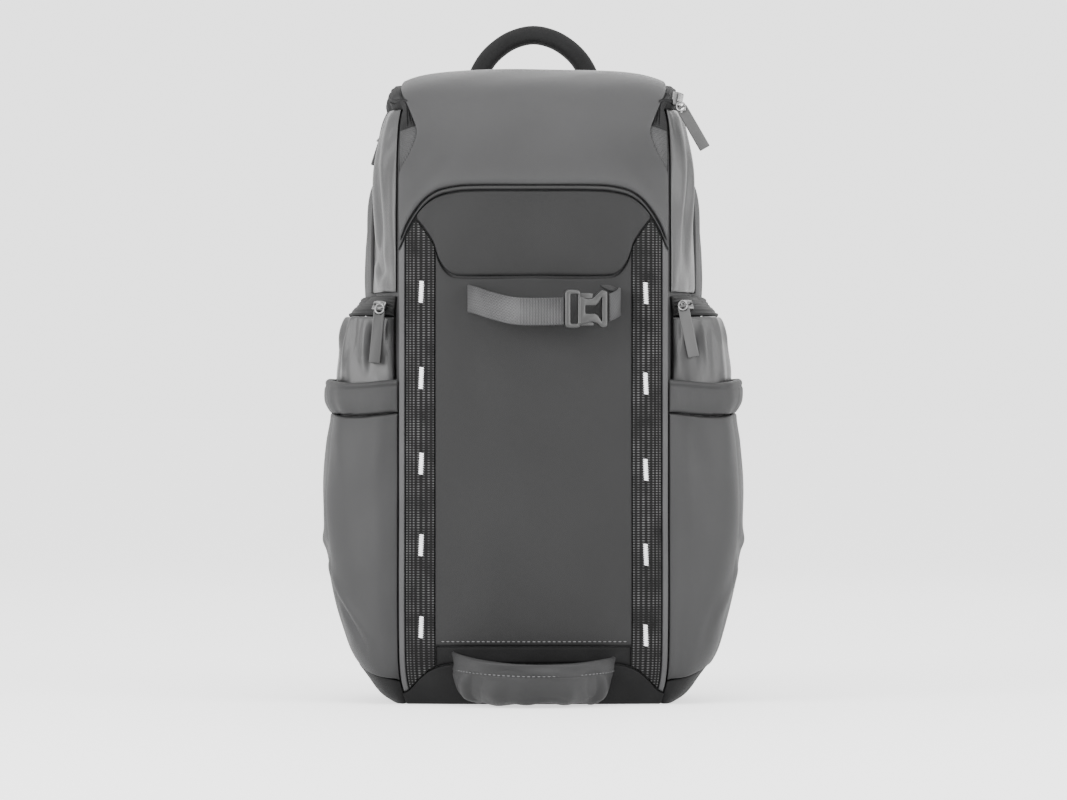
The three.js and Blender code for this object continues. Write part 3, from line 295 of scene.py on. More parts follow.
def creases(a, b, rows):
    """Folds and hollows: along each row's line from (a0, b0) to (a1, b1) the cloth stands up by
    height, falling off over width as a bell curve and easing to a third at the line's ends."""
    total = np.zeros(np.broadcast(a, b).shape)
    for a0, b0, a1, b1, width, height in rows:
        da, db = a1 - a0, b1 - b0
        t = np.clip(((a - a0) * da + (b - b0) * db) / (da * da + db * db), 0, 1)
        apart = (a - a0 - t * da) ** 2 + (b - b0 - t * db) ** 2
        total += height * np.exp(-apart / width**2) * (0.33 + 0.67 * np.sin(np.pi * t))
    return total


def normals(grid):
    """Unit normals of a grid of points, from the cross product of its two directions."""
    normal = np.cross(np.gradient(grid, axis=1), np.gradient(grid, axis=0))
    return normal / np.maximum(np.linalg.norm(normal, axis=-1, keepdims=True), 1e-12)


def arc_lengths(grid, axis):
    """The way run along the middle of a grid, which is its own cloth's measure."""
    middle = grid[grid.shape[0] // 2] if axis == 1 else grid[:, grid.shape[1] // 2]
    return np.concatenate([[0], np.cumsum(np.linalg.norm(np.diff(middle, axis=0), axis=1))])


def coordinates(mesh):
    """A mesh's points as one array."""
    local = np.zeros(len(mesh.vertices) * 3)
    mesh.vertices.foreach_get("co", local)
    return local.reshape(-1, 3)


def sewn_on(name, mesh, nodes):
    """The object of a finished mesh, which rides on the body and stands for its solids."""
    piece = bpy.data.objects.new(name, mesh)
    bpy.context.scene.collection.objects.link(piece)
    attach(piece, "root")
    if nodes:
        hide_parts(*nodes)
    return piece


def finish_piece(name, vertices, faces, uvs, material, nodes, seam=None):
    """One mesh object from points, faces and cloth measures, riding on the body. seam is how near
    each point lies to the piece's sewn edge, from 0 to 1."""
    mesh = bpy.data.meshes.new(name)
    mesh.from_pydata(vertices.tolist(), [], faces)
    if seam is not None:
        mesh.attributes.new("seam", "FLOAT", "POINT").data.foreach_set("value", seam)
    layer = mesh.uv_layers.new(name="cloth")
    loops = np.zeros(len(mesh.loops), int)
    mesh.loops.foreach_get("vertex_index", loops)
    layer.data.foreach_set("uv", uvs[loops].ravel())
    mesh.shade_smooth()
    mesh.materials.append(material)
    return sewn_on(name, mesh, nodes)


def quads(rows, columns, start=0, turned=False, closed=False):
    """The faces of a grid of points, or of a tube if its columns close on themselves."""
    index = np.arange(rows * columns).reshape(rows, columns) + start
    beside = np.roll(index, -1, 1) if closed else index[:, 1:]
    index = index if closed else index[:, :-1]
    corners = [index[:-1], beside[:-1], beside[1:], index[1:]]
    return np.stack(corners[::-1] if turned else corners, -1).reshape(-1, 4).tolist()


def tube(name, rings, material, nodes=()):
    """A closed solid skinned over rings, each end gathered to a point at its middle. Its cloth
    measure runs round the widest ring and along the way."""
    rows, columns = rings.shape[:2]
    vertices = np.concatenate([rings.reshape(-1, 3), rings[[0, -1]].mean(1)])
    first, last = rows * columns, rows * columns + 1
    index = np.arange(columns)
    ahead = np.roll(index, -1)
    faces = quads(rows, columns, closed=True)
    faces += [(b, a, first) for a, b in zip(index.tolist(), ahead.tolist())]
    end = (rows - 1) * columns
    faces += [(end + a, end + b, last) for a, b in zip(index.tolist(), ahead.tolist())]
    corner = vertices[np.array([f[:3] for f in faces])]
    if np.einsum("ij,ij->", corner[:, 0], np.cross(corner[:, 1], corner[:, 2])) < 0:
        faces = [f[::-1] for f in faces]
    around = np.linalg.norm(np.diff(rings[rows // 2], axis=0, append=rings[rows // 2][:1]), axis=1)
    around = np.concatenate([[0], np.cumsum(around)[:-1]])
    along = arc_lengths(rings, 0)
    measure = np.stack(np.meshgrid(around, along), -1).reshape(-1, 2)
    uvs = np.concatenate([measure, [[0, along[0]], [0, along[-1]]]])
    return finish_piece(name, vertices, faces, uvs, material, nodes)


def woven(name, dark, light, pitch=0.0009, relief=0.00025, roughness=0.7, mottle=30, ribs=0.0,
          specular=0.2, rim=-0.3, crumple=0.0, upright=False):
    """Plain-woven cloth. Its threads are the product of two sine waves over the cloth's own
    measure; a slow noise varies its shade and shine, and a fine one gives the yarn's hairs.
    With ribs, one wave is stretched so that the weave forms ribs across the piece. rim is painted
    light beside its seams: below 0 it darkens the colour there as painted shade, and above 0 it
    lightens it as a painted highlight. crumple is the depth of soft creases, longer upright than
    level. An upright piece's weave is measured across and up."""
    material, tree, surface = shader(name)
    measure = add_node(tree, "ShaderNodeTexCoord").outputs["UV"]
    place = add_node(tree, "ShaderNodeTexCoord").outputs["Object"]
    split = add_node(tree, "ShaderNodeSeparateXYZ", {0: place if upright else measure})
    turns = 2 * math.pi / pitch
    warp = math_node(tree, "SINE", math_node(tree, "MULTIPLY", split.outputs[0], turns))
    weft = math_node(tree, "SINE", math_node(tree, "MULTIPLY", split.outputs[2 if upright else 1], turns))
    cross = math_node(tree, "MULTIPLY", warp, weft)
    threads = add_node(tree, "ShaderNodeMix", {0: ribs, 2: cross, 3: weft}, data_type="FLOAT").outputs[0]
    slow = noise(tree, place, mottle, 4.0)
    fine = noise(tree, place, 1400.0, 2.0)
    shade = math_node(tree, "MULTIPLY_ADD", threads, 0.16, slow)
    shade = math_node(tree, "MULTIPLY_ADD", math_node(tree, "SUBTRACT", fine, 0.5), 0.3, shade)
    greys = grey_ramp(tree, shade, 0.2, dark, 0.8, light, 1.02)
    # Painted light: beside the seams the colour is scaled by rim, as painted shade where rim is below 0 and
    # as a painted highlight where it is above.
    near_seam = add_node(tree, "ShaderNodeAttribute", attribute_name="seam").outputs["Fac"]
    painted_seam_light = math_node(tree, "MULTIPLY_ADD", near_seam, rim, 1.0)
    shaded = add_node(tree, "ShaderNodeVectorMath", {0: greys, 3: painted_seam_light}, operation="SCALE")
    tree.links.new(shaded.outputs[0], surface.inputs["Base Color"])
    spread = add_node(tree, "ShaderNodeMapRange", {0: slow, 3: roughness - 0.07, 4: roughness + 0.07})
    tree.links.new(spread.outputs[0], surface.inputs["Roughness"])
    height = math_node(tree, "MULTIPLY_ADD", fine, 0.6, threads)
    bump = bumped(tree, height, 0.35, relief)
    if crumple:
        upright_less = {0: place, 1: (1, 1, 0.55)}
        drawn_up = add_node(tree, "ShaderNodeVectorMath", upright_less, operation="MULTIPLY")
        folds = bumped(tree, noise(tree, drawn_up.outputs[0], 26.0, 1.5, 0.3), 1.0, crumple)
        tree.links.new(folds.outputs[0], bump.inputs["Normal"])
    tree.links.new(bump.outputs[0], surface.inputs["Normal"])
    surface.inputs["Specular IOR Level"].default_value = specular
    return material


body_cloth = woven("body_cloth", 0.016, 0.026, roughness=0.62, crumple=0.003)
shell_foot = BASE_THICKNESS + GAP + np.array((0, 0.001, 0.004))
shell_heights = np.concatenate([shell_foot, np.linspace(0.010, SHELL_RIM_HEIGHT + SHELL_RIM_ROLL, 110)])
outside = body_ring(shell_heights)
shell_normals = normals(outside)
facing = np.sign(np.sum(shell_normals * (outside - BODY_CORE) * (1, 1, 0), -1, keepdims=True))
outward = shell_normals * facing * (1, 1, 0)
sink = 0.0006 * (1 + smooth_step(shell_heights, 0.84 * BODY_HEIGHT, 0.92 * BODY_HEIGHT))[:, None]
behind_seam = smooth_step(outside[..., 1], -0.010, 0.010) * smooth_step(-outside[..., 1], -0.078, -0.060)
shell_folds = behind_seam * ripples(outside[..., 1], outside[..., 2], 0.0012, 0.030, 11, 4.0)
outside = outside + outward * (np.minimum(shell_folds, 0.0015) - sink)[..., None]
inside = (outside - outward * SHELL_WALL)[::-1]
inside[-4:, :, 2] = BASE_THICKNESS + GAP + SHELL_WALL
tube("body_shell", np.concatenate([outside, inside]), body_cloth, ["main_shell"])


# The base
# A hard-wearing coated cloth, flat under the body, with its front edge turned up and sewn to the
# foot of the front in a shallow curve.
FRONT_SEAM_HEIGHT = 0.030
BASE_SEAM = [(0.0, 1.0), (0.6, 1.0), (0.76, 0.87), (0.87, 0.6), (0.96, 0.35), (1.0, 0.3)]
base_seam = curve_through(BASE_SEAM)


def seam_height(x):
    """How high the base reaches up the front at a place across."""
    return base_seam(np.abs(x) / FRONT_HALF_WIDTH)[0] * FRONT_SEAM_HEIGHT


SEAM_REACH = 0.006


def stops(count, edge):
    """Shares from 0 to 1 that lie close together within an edge at both ends."""
    near = edge * np.array((0, 0.12, 0.35, 0.65))
    return np.concatenate([near, np.linspace(edge, 1 - edge, count), 1 - near[::-1]])


def panel(name, surface, size, thickness, material, nodes=(), lift=0.0, relief=None, edge=0.0022,
          core=BODY_CORE):
    """A sewn panel. surface(u, v) is its inner face; the outer one stands off along the normal by
    the thickness, which rounds off as a quarter circle within the edge, plus a relief of folds."""
    u, v = np.meshgrid(*[np.linspace(0, 1, 9)] * 2)
    rough = surface(u, v)
    width, length = arc_lengths(rough, 1)[-1], arc_lengths(rough, 0)[-1]
    u, v = np.meshgrid(stops(size[0], min(edge / width, 0.3)), stops(size[1], min(edge / length, 0.3)))
    inner = surface(u, v)
    normal = normals(inner)
    outward = np.sum(normal * (inner - core)) > 0
    normal = normal if outward else -normal
    border = np.minimum(np.minimum(u, 1 - u) * width, np.minimum(v, 1 - v) * length)
    rounding = np.sqrt(1 - (1 - np.clip(border / edge, 0, 1)) ** 2)
    stand = thickness * (0.3 + 0.7 * rounding)
    if relief is not None:
        stand = np.maximum(stand + relief(u, v, inner) * rounding, 0.35 * thickness)
    outer = inner + normal * (lift + stand)[..., None]
    inner = inner + normal * lift
    rows, columns = u.shape
    faces = quads(rows, columns, turned=not outward) + quads(rows, columns, rows * columns, turned=outward)
    index = np.arange(rows * columns).reshape(rows, columns)
    rim = np.concatenate([index[0, :-1], index[:-1, -1], index[-1, :0:-1], index[:0:-1, 0]])
    ahead = np.roll(rim, -1)
    under, under_ahead = rim + rows * columns, ahead + rows * columns
    side = np.stack([ahead, rim, under, under_ahead] if outward else [rim, ahead, under_ahead, under], -1)
    faces += side.tolist()
    measure = np.stack([arc_lengths(outer, 1)[None, :].repeat(rows, 0),
                        arc_lengths(outer, 0)[:, None].repeat(columns, 1)], -1).reshape(-1, 2)
    vertices = np.concatenate([outer.reshape(-1, 3), inner.reshape(-1, 3)])
    seam = np.tile(np.exp(-border / SEAM_REACH).ravel(), 2)
    return finish_piece(name, vertices, faces, np.concatenate([measure] * 2), material, nodes, seam)


def base_surface(u, v):
    """Back to front along the ground for the first six tenths, then up the front to the seam."""
    share = mix(-1.015, 1.015, u)
    foot = -fore_at(np.array(BASE_THICKNESS)) + FRONT_CROWN * share**2 - 2 * GAP
    back = mix(BACK_DEPTH - 0.002, foot, v / 0.6)
    narrower = 1 - 0.13 * smooth_step(back, 0.045, BACK_DEPTH)
    under = points(share * front_half(np.array(BASE_THICKNESS)) * narrower, back, BASE_THICKNESS)
    t = np.clip((v - 0.6) / 0.4, 0, 1)
    up = on_front(share * FRONT_HALF_WIDTH, mix(BASE_THICKNESS, seam_height(share * FRONT_HALF_WIDTH), t))
    up[..., 1] -= 2 * GAP
    return np.where((v <= 0.6)[..., None], under, up)


base_cloth = woven("base_cloth", 0.005, 0.009, pitch=0.0012, roughness=0.6, mottle=45, specular=0.08)
panel("base", base_surface, (50, 60), BASE_THICKNESS, base_cloth, ["base_panel"],
      core=np.array((0, 0, BODY_HEIGHT)))


# The lid
# One smooth coated panel from the arch on the front, over the top, to the back edge, with a
# corded edge round the arch. It is lightly padded, so its sides roll over into the gussets.
LID_THICKNESS = 0.004
LID_CORNER_DROP = 0.007
LID_ROLL = 0.0026
LID_PIPING_WIDTH = 0.003
LID_EDGE = [
    (0.7, 0.965), (0.735, 0.99), (0.795, 0.995), (0.83, 0.985), (0.855, 0.92), (0.89, 0.865), (0.92, 0.9),
    (0.955, 0.955), (0.985, 0.985), (1.02, 0.99), (1.06, 0.975), (1.15, 0.98), (1.335, 0.93),
]
LID_ARCH = [
    (0.0, 0.809), (0.5, 0.8085), (0.63, 0.805), (0.72, 0.799), (0.8, 0.787), (0.87, 0.769), (0.93, 0.748),
    (0.975, 0.726), (1.0, 0.714),
]
lid_edge = curve_through(LID_EDGE)
lid_arch = curve_through(LID_ARCH)


def arch_height(x):
    """How high the lid's lower edge is at a place across."""
    return lid_arch(np.abs(x) / FRONT_HALF_WIDTH)[0] * BODY_HEIGHT


def face_point(across, way):
    """The face that runs up the front and over the top; across is -1 to 1 of the lid's edge, and
    its corners drop with the fourth power of the width."""
    fore, aft, high = body_profile(way)
    over_top = smooth_step(way, 0.9, 1.1)
    x = across * lid_edge(way)[0] * FRONT_HALF_WIDTH
    crown = FRONT_CROWN * (x / FRONT_HALF_WIDTH) ** 2 * (1 - over_top)
    drop = LID_CORNER_DROP * across**4 * over_top
    return points(x, -fore * FRONT_DEPTH + aft * BACK_DEPTH + crown, high * BODY_HEIGHT - drop)


def lid_surface(u, v):
    """From the arch (v = 0) to the back edge, its columns closer together towards both sides."""
    across = np.sin(mix(-np.pi / 2, np.pi / 2, u))
    start = arch_height(across * lid_edge(np.array(0.72))[0] * FRONT_HALF_WIDTH) / BODY_HEIGHT
    return face_point(across, mix(start, BODY_PROFILE[-1][0], v))


def lid_relief(u, v, at):
    """Slow waves, two soft hollows where the padding ends above the arch, a swelling along each
    side and corners that roll down at the top."""
    folds = creases(at[..., 0], at[..., 2], [
        (-0.060, 0.400, -0.085, 0.372, 0.006, -0.0008), (0.062, 0.402, 0.086, 0.370, 0.006, -0.0008),
        (-0.078, 0.445, -0.070, 0.380, 0.009, 0.0008), (0.078, 0.445, 0.070, 0.380, 0.009, 0.0008)])
    roll = -LID_ROLL * np.abs(at[..., 0] / FRONT_HALF_WIDTH) ** 10 * smooth_step(at[..., 2], 0.44, 0.46)
    return folds + roll + ripples(at[..., 0], at[..., 2] + at[..., 1], 0.00035, 0.07, 3)


# Painted highlight: rim above 0 lightens the lid's colour beside its edges, where its padded sides roll over.
lid_cloth = woven("lid_cloth", 0.017, 0.023, pitch=0.0007, relief=0.0001, roughness=0.5, mottle=12, rim=0.35)
panel("lid_panel", lid_surface, (110, 130), LID_THICKNESS, lid_cloth, ["lid"], lift=GAP,
      relief=lid_relief, edge=0.004)


def front_surface(left, right, bottom, top, rounded=False):
    """A panel of the front from left to right and from bottom(x) up to top(x). A rounded one has
    its columns closer together towards its sides."""
    def surface(u, v):
        x = mix(left, right, 0.5 - 0.5 * np.cos(np.pi * u) if rounded else u)
        return on_front(x, mix(bottom(x), top(x), v))
    return surface


piping_cloth = woven("piping_cloth", 0.012, 0.020, pitch=0.0012, roughness=0.5)
reach = FRONT_HALF_WIDTH - GAP
arch_cord = front_surface(
    -reach, reach, lambda x: arch_height(x) - SEAM_GAP - LID_PIPING_WIDTH,
    lambda x: arch_height(x) - SEAM_GAP, True)
panel("lid_cord", arch_cord, (160, 4), LID_THICKNESS * 0.8, piping_cloth, ["lid_piping"],
      lift=GAP, edge=0.0014)


# The gussets
# Ribbed cloth with the lid's zip, set between the lid's side edge and the body. Each runs
# forward over the side and then narrows down the front to a point.
GUSSET_LAP = 0.004
GUSSET_TUCK = 0.0035
GUSSET_SWELL = 0.0085
PATCH_HEIGHT = 0.418
SIDE_PANEL_TOP = 0.437
GUSSET_POINT_HEIGHT = 0.390
PANEL_THICKNESS = 0.002
COIL_LINE = 0.34
FOLD_LINE = 0.60


def gusset_side_foot(side, t):
    """The gusset's foot from the back corner (0) over the side seam to the front corner (1). It
    lies outside the body's rim, and then steps up above the side panel."""
    z = mix(SHELL_RIM_HEIGHT - GUSSET_LAP, SIDE_PANEL_TOP + 2 * SEAM_GAP, smooth_step(t, 0.4, 0.55))
    corner = points(side * 0.95 * rear_half(z), BACK_DEPTH * 0.93, z)
    at_corner = corner + (side_point(side, np.array(2.0), z) - corner) * (t / 0.2)[..., None]
    round_ = np.where(t < 0.6, mix(2, 1, (t - 0.2) / 0.4), mix(1, 0, (t - 0.6) / 0.4))
    return np.where((t < 0.2)[..., None], at_corner, side_point(side, np.clip(round_, 0, 2), z))


def gusset_point(side, u, v):
    """Between the lid's side edge (u = 0) and the body (u = 1), from the back (v = 0) forward to
    the front corner (v = 0.5) and then down the front to the lower point (v = 1)."""
    along, down = np.clip(v / 0.5, 0, 1), np.clip((v - 0.5) / 0.5, 0, 1)
    way = np.where(v < 0.5, mix(1.25, 0.955, along), mix(0.955, GUSSET_POINT_HEIGHT / BODY_HEIGHT, down))
    over_top = smooth_step(way, 0.9, 1.1)
    at_lid = face_point(np.full(way.shape, float(side)), way) + GUSSET_TUCK * points(
        -side, 0.6 * (1 - over_top), -0.35 * over_top)
    front_z = mix(SIDE_PANEL_TOP + 2 * SEAM_GAP, GUSSET_POINT_HEIGHT, down)
    at_front = on_front(side * FRONT_HALF_WIDTH, front_z)
    foot = np.where((v < 0.5)[..., None], gusset_side_foot(side, along), at_front)
    under_side = smooth_step(v, 0.24, 0.32) * (1 - smooth_step(v, 0.44, 0.56))
    foot = foot + under_side[..., None] * np.array((-side * 0.9, 0, -1.4)) * GUSSET_TUCK
    return at_lid + (foot - at_lid) * u[..., None]


def gusset_relief(u, v, at):
    """It swells out over the side. A narrow ridge of zip coils lies in a hollow near the middle,
    and a stitched fold runs beside the outer edge."""
    swell = GUSSET_SWELL * (1 - 0.85 * smooth_step(v, 0.42, 0.58)) * smooth_step(v, 0, 0.15)
    off_coils = u - COIL_LINE
    zip_line = 0.0010 * np.exp(-(off_coils / 0.035) ** 2) - 0.0012 * np.exp(-(off_coils / 0.09) ** 2)
    fold = 0.0009 * smooth_step(u, FOLD_LINE, 0.64) - 0.0007 * np.exp(-((u - FOLD_LINE) / 0.03) ** 2)
    above_patch = 1 - smooth_step(v, 0.64, 0.70)
    waves = ripples(u * 0.02, v * 0.15, 0.0003, 0.012, 15)
    return swell * np.sin(np.pi * u**0.7) + (zip_line + fold + waves) * above_patch


def patch_point(side, u, v):
    """The gusset's lower end, from the stitched edge of its patch down to the point."""
    start = 0.5 + 0.5 * (SIDE_PANEL_TOP - PATCH_HEIGHT) / (SIDE_PANEL_TOP - GUSSET_POINT_HEIGHT)
    return gusset_point(side, mix(0.02, 0.98, u), mix(start, 0.99, v))


def patch_relief(u, v, at):
    """It follows the gusset's swell, with fine slanting ribs and a doubled top edge."""
    ribs = 0.0002 * np.sin(2 * np.pi * (u * 5 + v * 9)) + 0.0005 * np.exp(-(v / 0.06) ** 2)
    return 0.15 * GUSSET_SWELL * np.sin(np.pi * u**0.7) + ribs


gusset_cloth = woven("gusset_cloth", 0.008, 0.018, pitch=0.0016, relief=0.0004, roughness=0.75, ribs=0.6,
                     specular=0.1)
patch_cloth = woven("patch_cloth", 0.020, 0.040, pitch=0.0016, relief=0.0004, roughness=0.7, ribs=0.6)
for side, name in ((-1, "left"), (1, "right")):
    panel(f"gusset_cloth_{name}",
          lambda u, v, side=side: gusset_point(side, u, mix(0.02, 0.995, v)),
          (70, 170), PANEL_THICKNESS, gusset_cloth, [f"gusset_{name}"], lift=2 * GAP,
          relief=gusset_relief)
    panel(f"gusset_patch_{name}",
          lambda u, v, side=side: patch_point(side, u, v),
          (40, 60), PANEL_THICKNESS / 2, patch_cloth, lift=2 * GAP + PANEL_THICKNESS,
          relief=patch_relief, edge=0.0008)


# The front's plain panels
# A smooth grey dome under the lid's arch, a tall middle panel that ends at a stitched hem, and a
# darker strip between that hem and the base.
DOME_THICKNESS = 0.003
BAND_INNER_X = 0.072
HEM_HEIGHT = 0.0435
DOME_EDGE = [
    (0.0, 0.668), (0.56, 0.668), (0.64, 0.675), (0.7, 0.694), (0.74, 0.72), (0.88, 0.762), (1.0, 0.79),
]
dome_edge = curve_through(DOME_EDGE)


def dome_height(x):
    """How high the dome's lower edge is at a place across."""
    return dome_edge(np.abs(x) / FRONT_HALF_WIDTH)[0] * BODY_HEIGHT


def under_lid(x):
    """The upper edge of the panels that end under the lid's cord."""
    return arch_height(x) - LID_PIPING_WIDTH - 2 * SEAM_GAP


def dome_relief(u, v, at):
    """Almost flat, with a slow wave."""
    return ripples(at[..., 0], at[..., 2], 0.0003, 0.06, 5)


panel_cloth = woven("panel_cloth", 0.005, 0.008, pitch=0.0007, relief=0.0001, roughness=0.6, mottle=14)
reach = 0.86 * FRONT_HALF_WIDTH
dome_surface = front_surface(-reach, reach, dome_height, under_lid, True)
panel("dome", dome_surface, (140, 50), DOME_THICKNESS, panel_cloth, ["dome_panel"],
      lift=GAP, relief=dome_relief)


def middle_relief(u, v, at):
    """Long shallow waves down the panel, and slight hollows beside the strap's two feet."""
    folds = creases(at[..., 0], at[..., 2], [
        (-0.046, 0.270, -0.040, 0.200, 0.010, -0.0006), (0.055, 0.275, 0.050, 0.210, 0.010, -0.0006)])
    waves = ripples(at[..., 0], at[..., 2], 0.0004, 0.05, 7, 3.0) * smooth_step(at[..., 2], 0.05, 0.08)
    return folds + waves


middle_cloth = woven("middle_cloth", 0.0072, 0.0105, pitch=0.0007, relief=0.0001, roughness=0.65, mottle=14)
reach = BAND_INNER_X - SEAM_GAP
middle_surface = front_surface(
    -reach, reach, lambda x: HEM_HEIGHT + 0 * x, lambda x: dome_height(x) - 2 * SEAM_GAP, True)
panel("middle", middle_surface, (90, 150), PANEL_THICKNESS, middle_cloth, ["middle_panel"],
      lift=GAP, relief=middle_relief)
strip_surface = front_surface(
    -reach, reach, lambda x: seam_height(x) + SEAM_GAP, lambda x: HEM_HEIGHT - SEAM_GAP + 0 * x)
panel("strip", strip_surface, (80, 12), PANEL_THICKNESS / 2, base_cloth, ["lower_strip"],
      lift=GAP)


def beads(name, at, along, up, length, width, material):
    """Thread: one small rounded bead for each place, lying along its own direction. The bead is a
    six-sided tube whose radius swells and closes at its two ends."""
    ways, radii = np.array((-0.5, -0.3, 0, 0.3, 0.5)), np.array((0.25, 0.9, 1, 0.9, 0.25))
    turn = np.arange(6) * np.pi / 3
    across = np.cross(up, along)
    ring = (along[:, None, None] * (ways[:, None, None] * length)
            + across[:, None, None] * (radii[:, None] * np.cos(turn))[..., None] * width / 2
            + up[:, None, None] * (radii[:, None] * np.sin(turn))[..., None] * width / 2)
    vertices = (at[:, None, None] + ring).reshape(-1, 3)
    one = np.array(quads(5, 6, closed=True))
    each = 30 * np.arange(len(at))[:, None, None]
    faces = (one[None] + each).reshape(-1, 4).tolist()
    for cap in (np.arange(5, -1, -1), np.arange(24, 30)):
        faces += (cap[None] + each[..., 0]).tolist()
    return finish_piece(name, vertices, faces, np.zeros((len(vertices), 2)), material, ())


def stitch_row(name, line, up, pitch, width, material):
    """A row of running stitches at an even pitch along a line of points."""
    way = np.concatenate([[0], np.cumsum(np.linalg.norm(np.diff(line, axis=0), axis=1))])
    stops_at = np.arange(pitch / 2, way[-1], pitch)
    at = np.stack([np.interp(stops_at, way, line[:, k]) for k in range(3)], -1)
    ahead = np.stack([np.interp(stops_at + pitch / 4, way, line[:, k]) for k in range(3)], -1)
    along = ahead - at
    along /= np.maximum(np.linalg.norm(along, axis=1, keepdims=True), 1e-9)
    up = np.broadcast_to(up, at.shape) if np.ndim(up) == 1 else np.stack(
        [np.interp(stops_at, way, up[:, k]) for k in range(3)], -1)
    return beads(name, at, along, up, pitch * 0.62, width, material)


grey_thread = woven("grey_thread", 0.05, 0.09, pitch=0.0006, roughness=0.6)
toward_front = np.array((0.0, -1.0, 0.0))
hem_x = np.linspace(-0.068, 0.068, 80)
hem_line = on_front(hem_x, np.full(80, HEM_HEIGHT + 0.003)) + toward_front * (GAP + PANEL_THICKNESS + 0.0002)
stitch_row("hem_stitches", hem_line, toward_front, 0.0037, 0.0009, grey_thread)


# The attachment bands
# Two dark webbings woven in five upright ribs, each rib crossed by fine bars, sewn up the front
# from the base to a point under the lid. White bar-tacks hold them down and leave loops between.
# Beside each band runs a lighter border at the body's front corner.
BAND_OUTER_X = 0.093
BAND_THICKNESS = 0.0026
BAND_RIBS = 5
BAR_PITCH = 0.0019
TACK_HEIGHTS = {-1: (0.302, 0.239, 0.1765, 0.117, 0.057), 1: (0.301, 0.235, 0.172, 0.110, 0.051)}
TACK_HEIGHT = 0.0148
TACK_WIDTH = 0.0034
TACK_ROWS = 19
TACK_X = 0.082


def ribbed_webbing():
    """Dark webbing with painted light: its colour is lighter, as painted highlights, where the fine
    bars along the cloth's length cross the tops of the upright ribs, and darker, as painted shade,
    in the gaps between the ribs; the highlights fade where a slow noise is low."""
    material, tree, surface = shader("ribbed_webbing")
    split = add_node(tree, "ShaderNodeSeparateXYZ", {0: add_node(tree, "ShaderNodeTexCoord").outputs["UV"]})
    place = add_node(tree, "ShaderNodeTexCoord").outputs["Object"]
    rib_turns = 2 * math.pi * BAND_RIBS / (BAND_OUTER_X - BAND_INNER_X)
    across = math_node(tree, "MULTIPLY", split.outputs[0], rib_turns)
    rib = math_node(tree, "MULTIPLY_ADD", math_node(tree, "COSINE", across), -0.5, 0.5)
    level_way = add_node(tree, "ShaderNodeSeparateXYZ", {0: place}).outputs[2]
    bar = math_node(tree, "SINE", math_node(tree, "MULTIPLY", level_way, 2 * math.pi / BAR_PITCH))
    bar = math_node(tree, "MULTIPLY_ADD", bar, 0.5, 0.5)
    crossing = math_node(tree, "MULTIPLY", math_node(tree, "POWER", rib, 0.7), bar)
    # Painted highlights on the bars over the ribs and painted shade in the gaps between them, carried into
    # the colour ramp below.
    glint_and_gap_shade = math_node(tree, "MULTIPLY", crossing, noise(tree, place, 60.0, 3.0))
    tree.links.new(grey_ramp(tree, glint_and_gap_shade, 0.16, 0.005, 0.60, 0.066), surface.inputs["Base Color"])
    surface.inputs["Roughness"].default_value = 0.8
    surface.inputs["Specular IOR Level"].default_value = 0.08
    height = math_node(tree, "MULTIPLY_ADD", bar, 0.6, rib)
    bump = bumped(tree, height, 0.8, 0.0005)
    tree.links.new(bump.outputs[0], surface.inputs["Normal"])
    return material


def band_relief(u, v, at):
    """Five upright ribs as a rectified sine across the band."""
    return 0.0007 * (np.abs(np.sin(np.pi * BAND_RIBS * u)) ** 0.6 - 0.7)


band_webbing = ribbed_webbing()
border_cloth = woven("border_cloth", 0.032, 0.042, pitch=0.0007, relief=0.0001, roughness=0.55, rim=0.0)
white_thread = woven("white_thread", 0.45, 0.80, pitch=0.0006, roughness=0.55)
for side, name in ((-1, "left"), (1, "right")):
    band = front_surface(
        side * BAND_INNER_X, side * BAND_OUTER_X, lambda x: seam_height(x) + SEAM_GAP,
        lambda x: np.minimum(dome_height(x), under_lid(x)) - 3 * SEAM_GAP)
    panel(f"band_webbing_{name}", band, (50, 240), BAND_THICKNESS, band_webbing,
          [f"band_{name}"], lift=GAP, relief=band_relief, edge=0.0008)
    border = front_surface(
        side * (BAND_OUTER_X + SEAM_GAP), side * (FRONT_HALF_WIDTH - GAP),
        lambda x: seam_height(x) + SEAM_GAP, lambda x: under_lid(x) - SEAM_GAP)
    panel(f"border_cloth_{name}", border, (10, 140), PANEL_THICKNESS, border_cloth,
          [f"border_{name}"], lift=GAP, edge=0.0018)
    rows = np.linspace(-0.5, 0.5, TACK_ROWS)
    tack_z = (np.array(TACK_HEIGHTS[side])[:, None] + rows * TACK_HEIGHT).ravel()
    tack_x = side * (TACK_X - 0.0006 * np.tile(rows, 5))
    tack_at = on_front(tack_x, tack_z) + toward_front * (GAP + BAND_THICKNESS + 0.0004)
    slant = np.tile(np.where(np.arange(TACK_ROWS) % 2, 0.14, -0.14), 5)
    along = points(np.cos(slant), 0, np.sin(slant))
    tack_up = np.broadcast_to(toward_front, along.shape)
    beads(f"bar_tacks_{name}", tack_at, along, tack_up, TACK_WIDTH, 0.0010, white_thread)


# The upper sides
# Light glossy nylon from the front corner back to the piped side seam. It is thin and not
# stretched tight, so it falls in long upright creases.
SIDE_PANEL_FOOT = 0.302
PIPING_THICKNESS = 0.0034
SIDE_SWELL = 0.004
SIDE_SPAN = 0.085


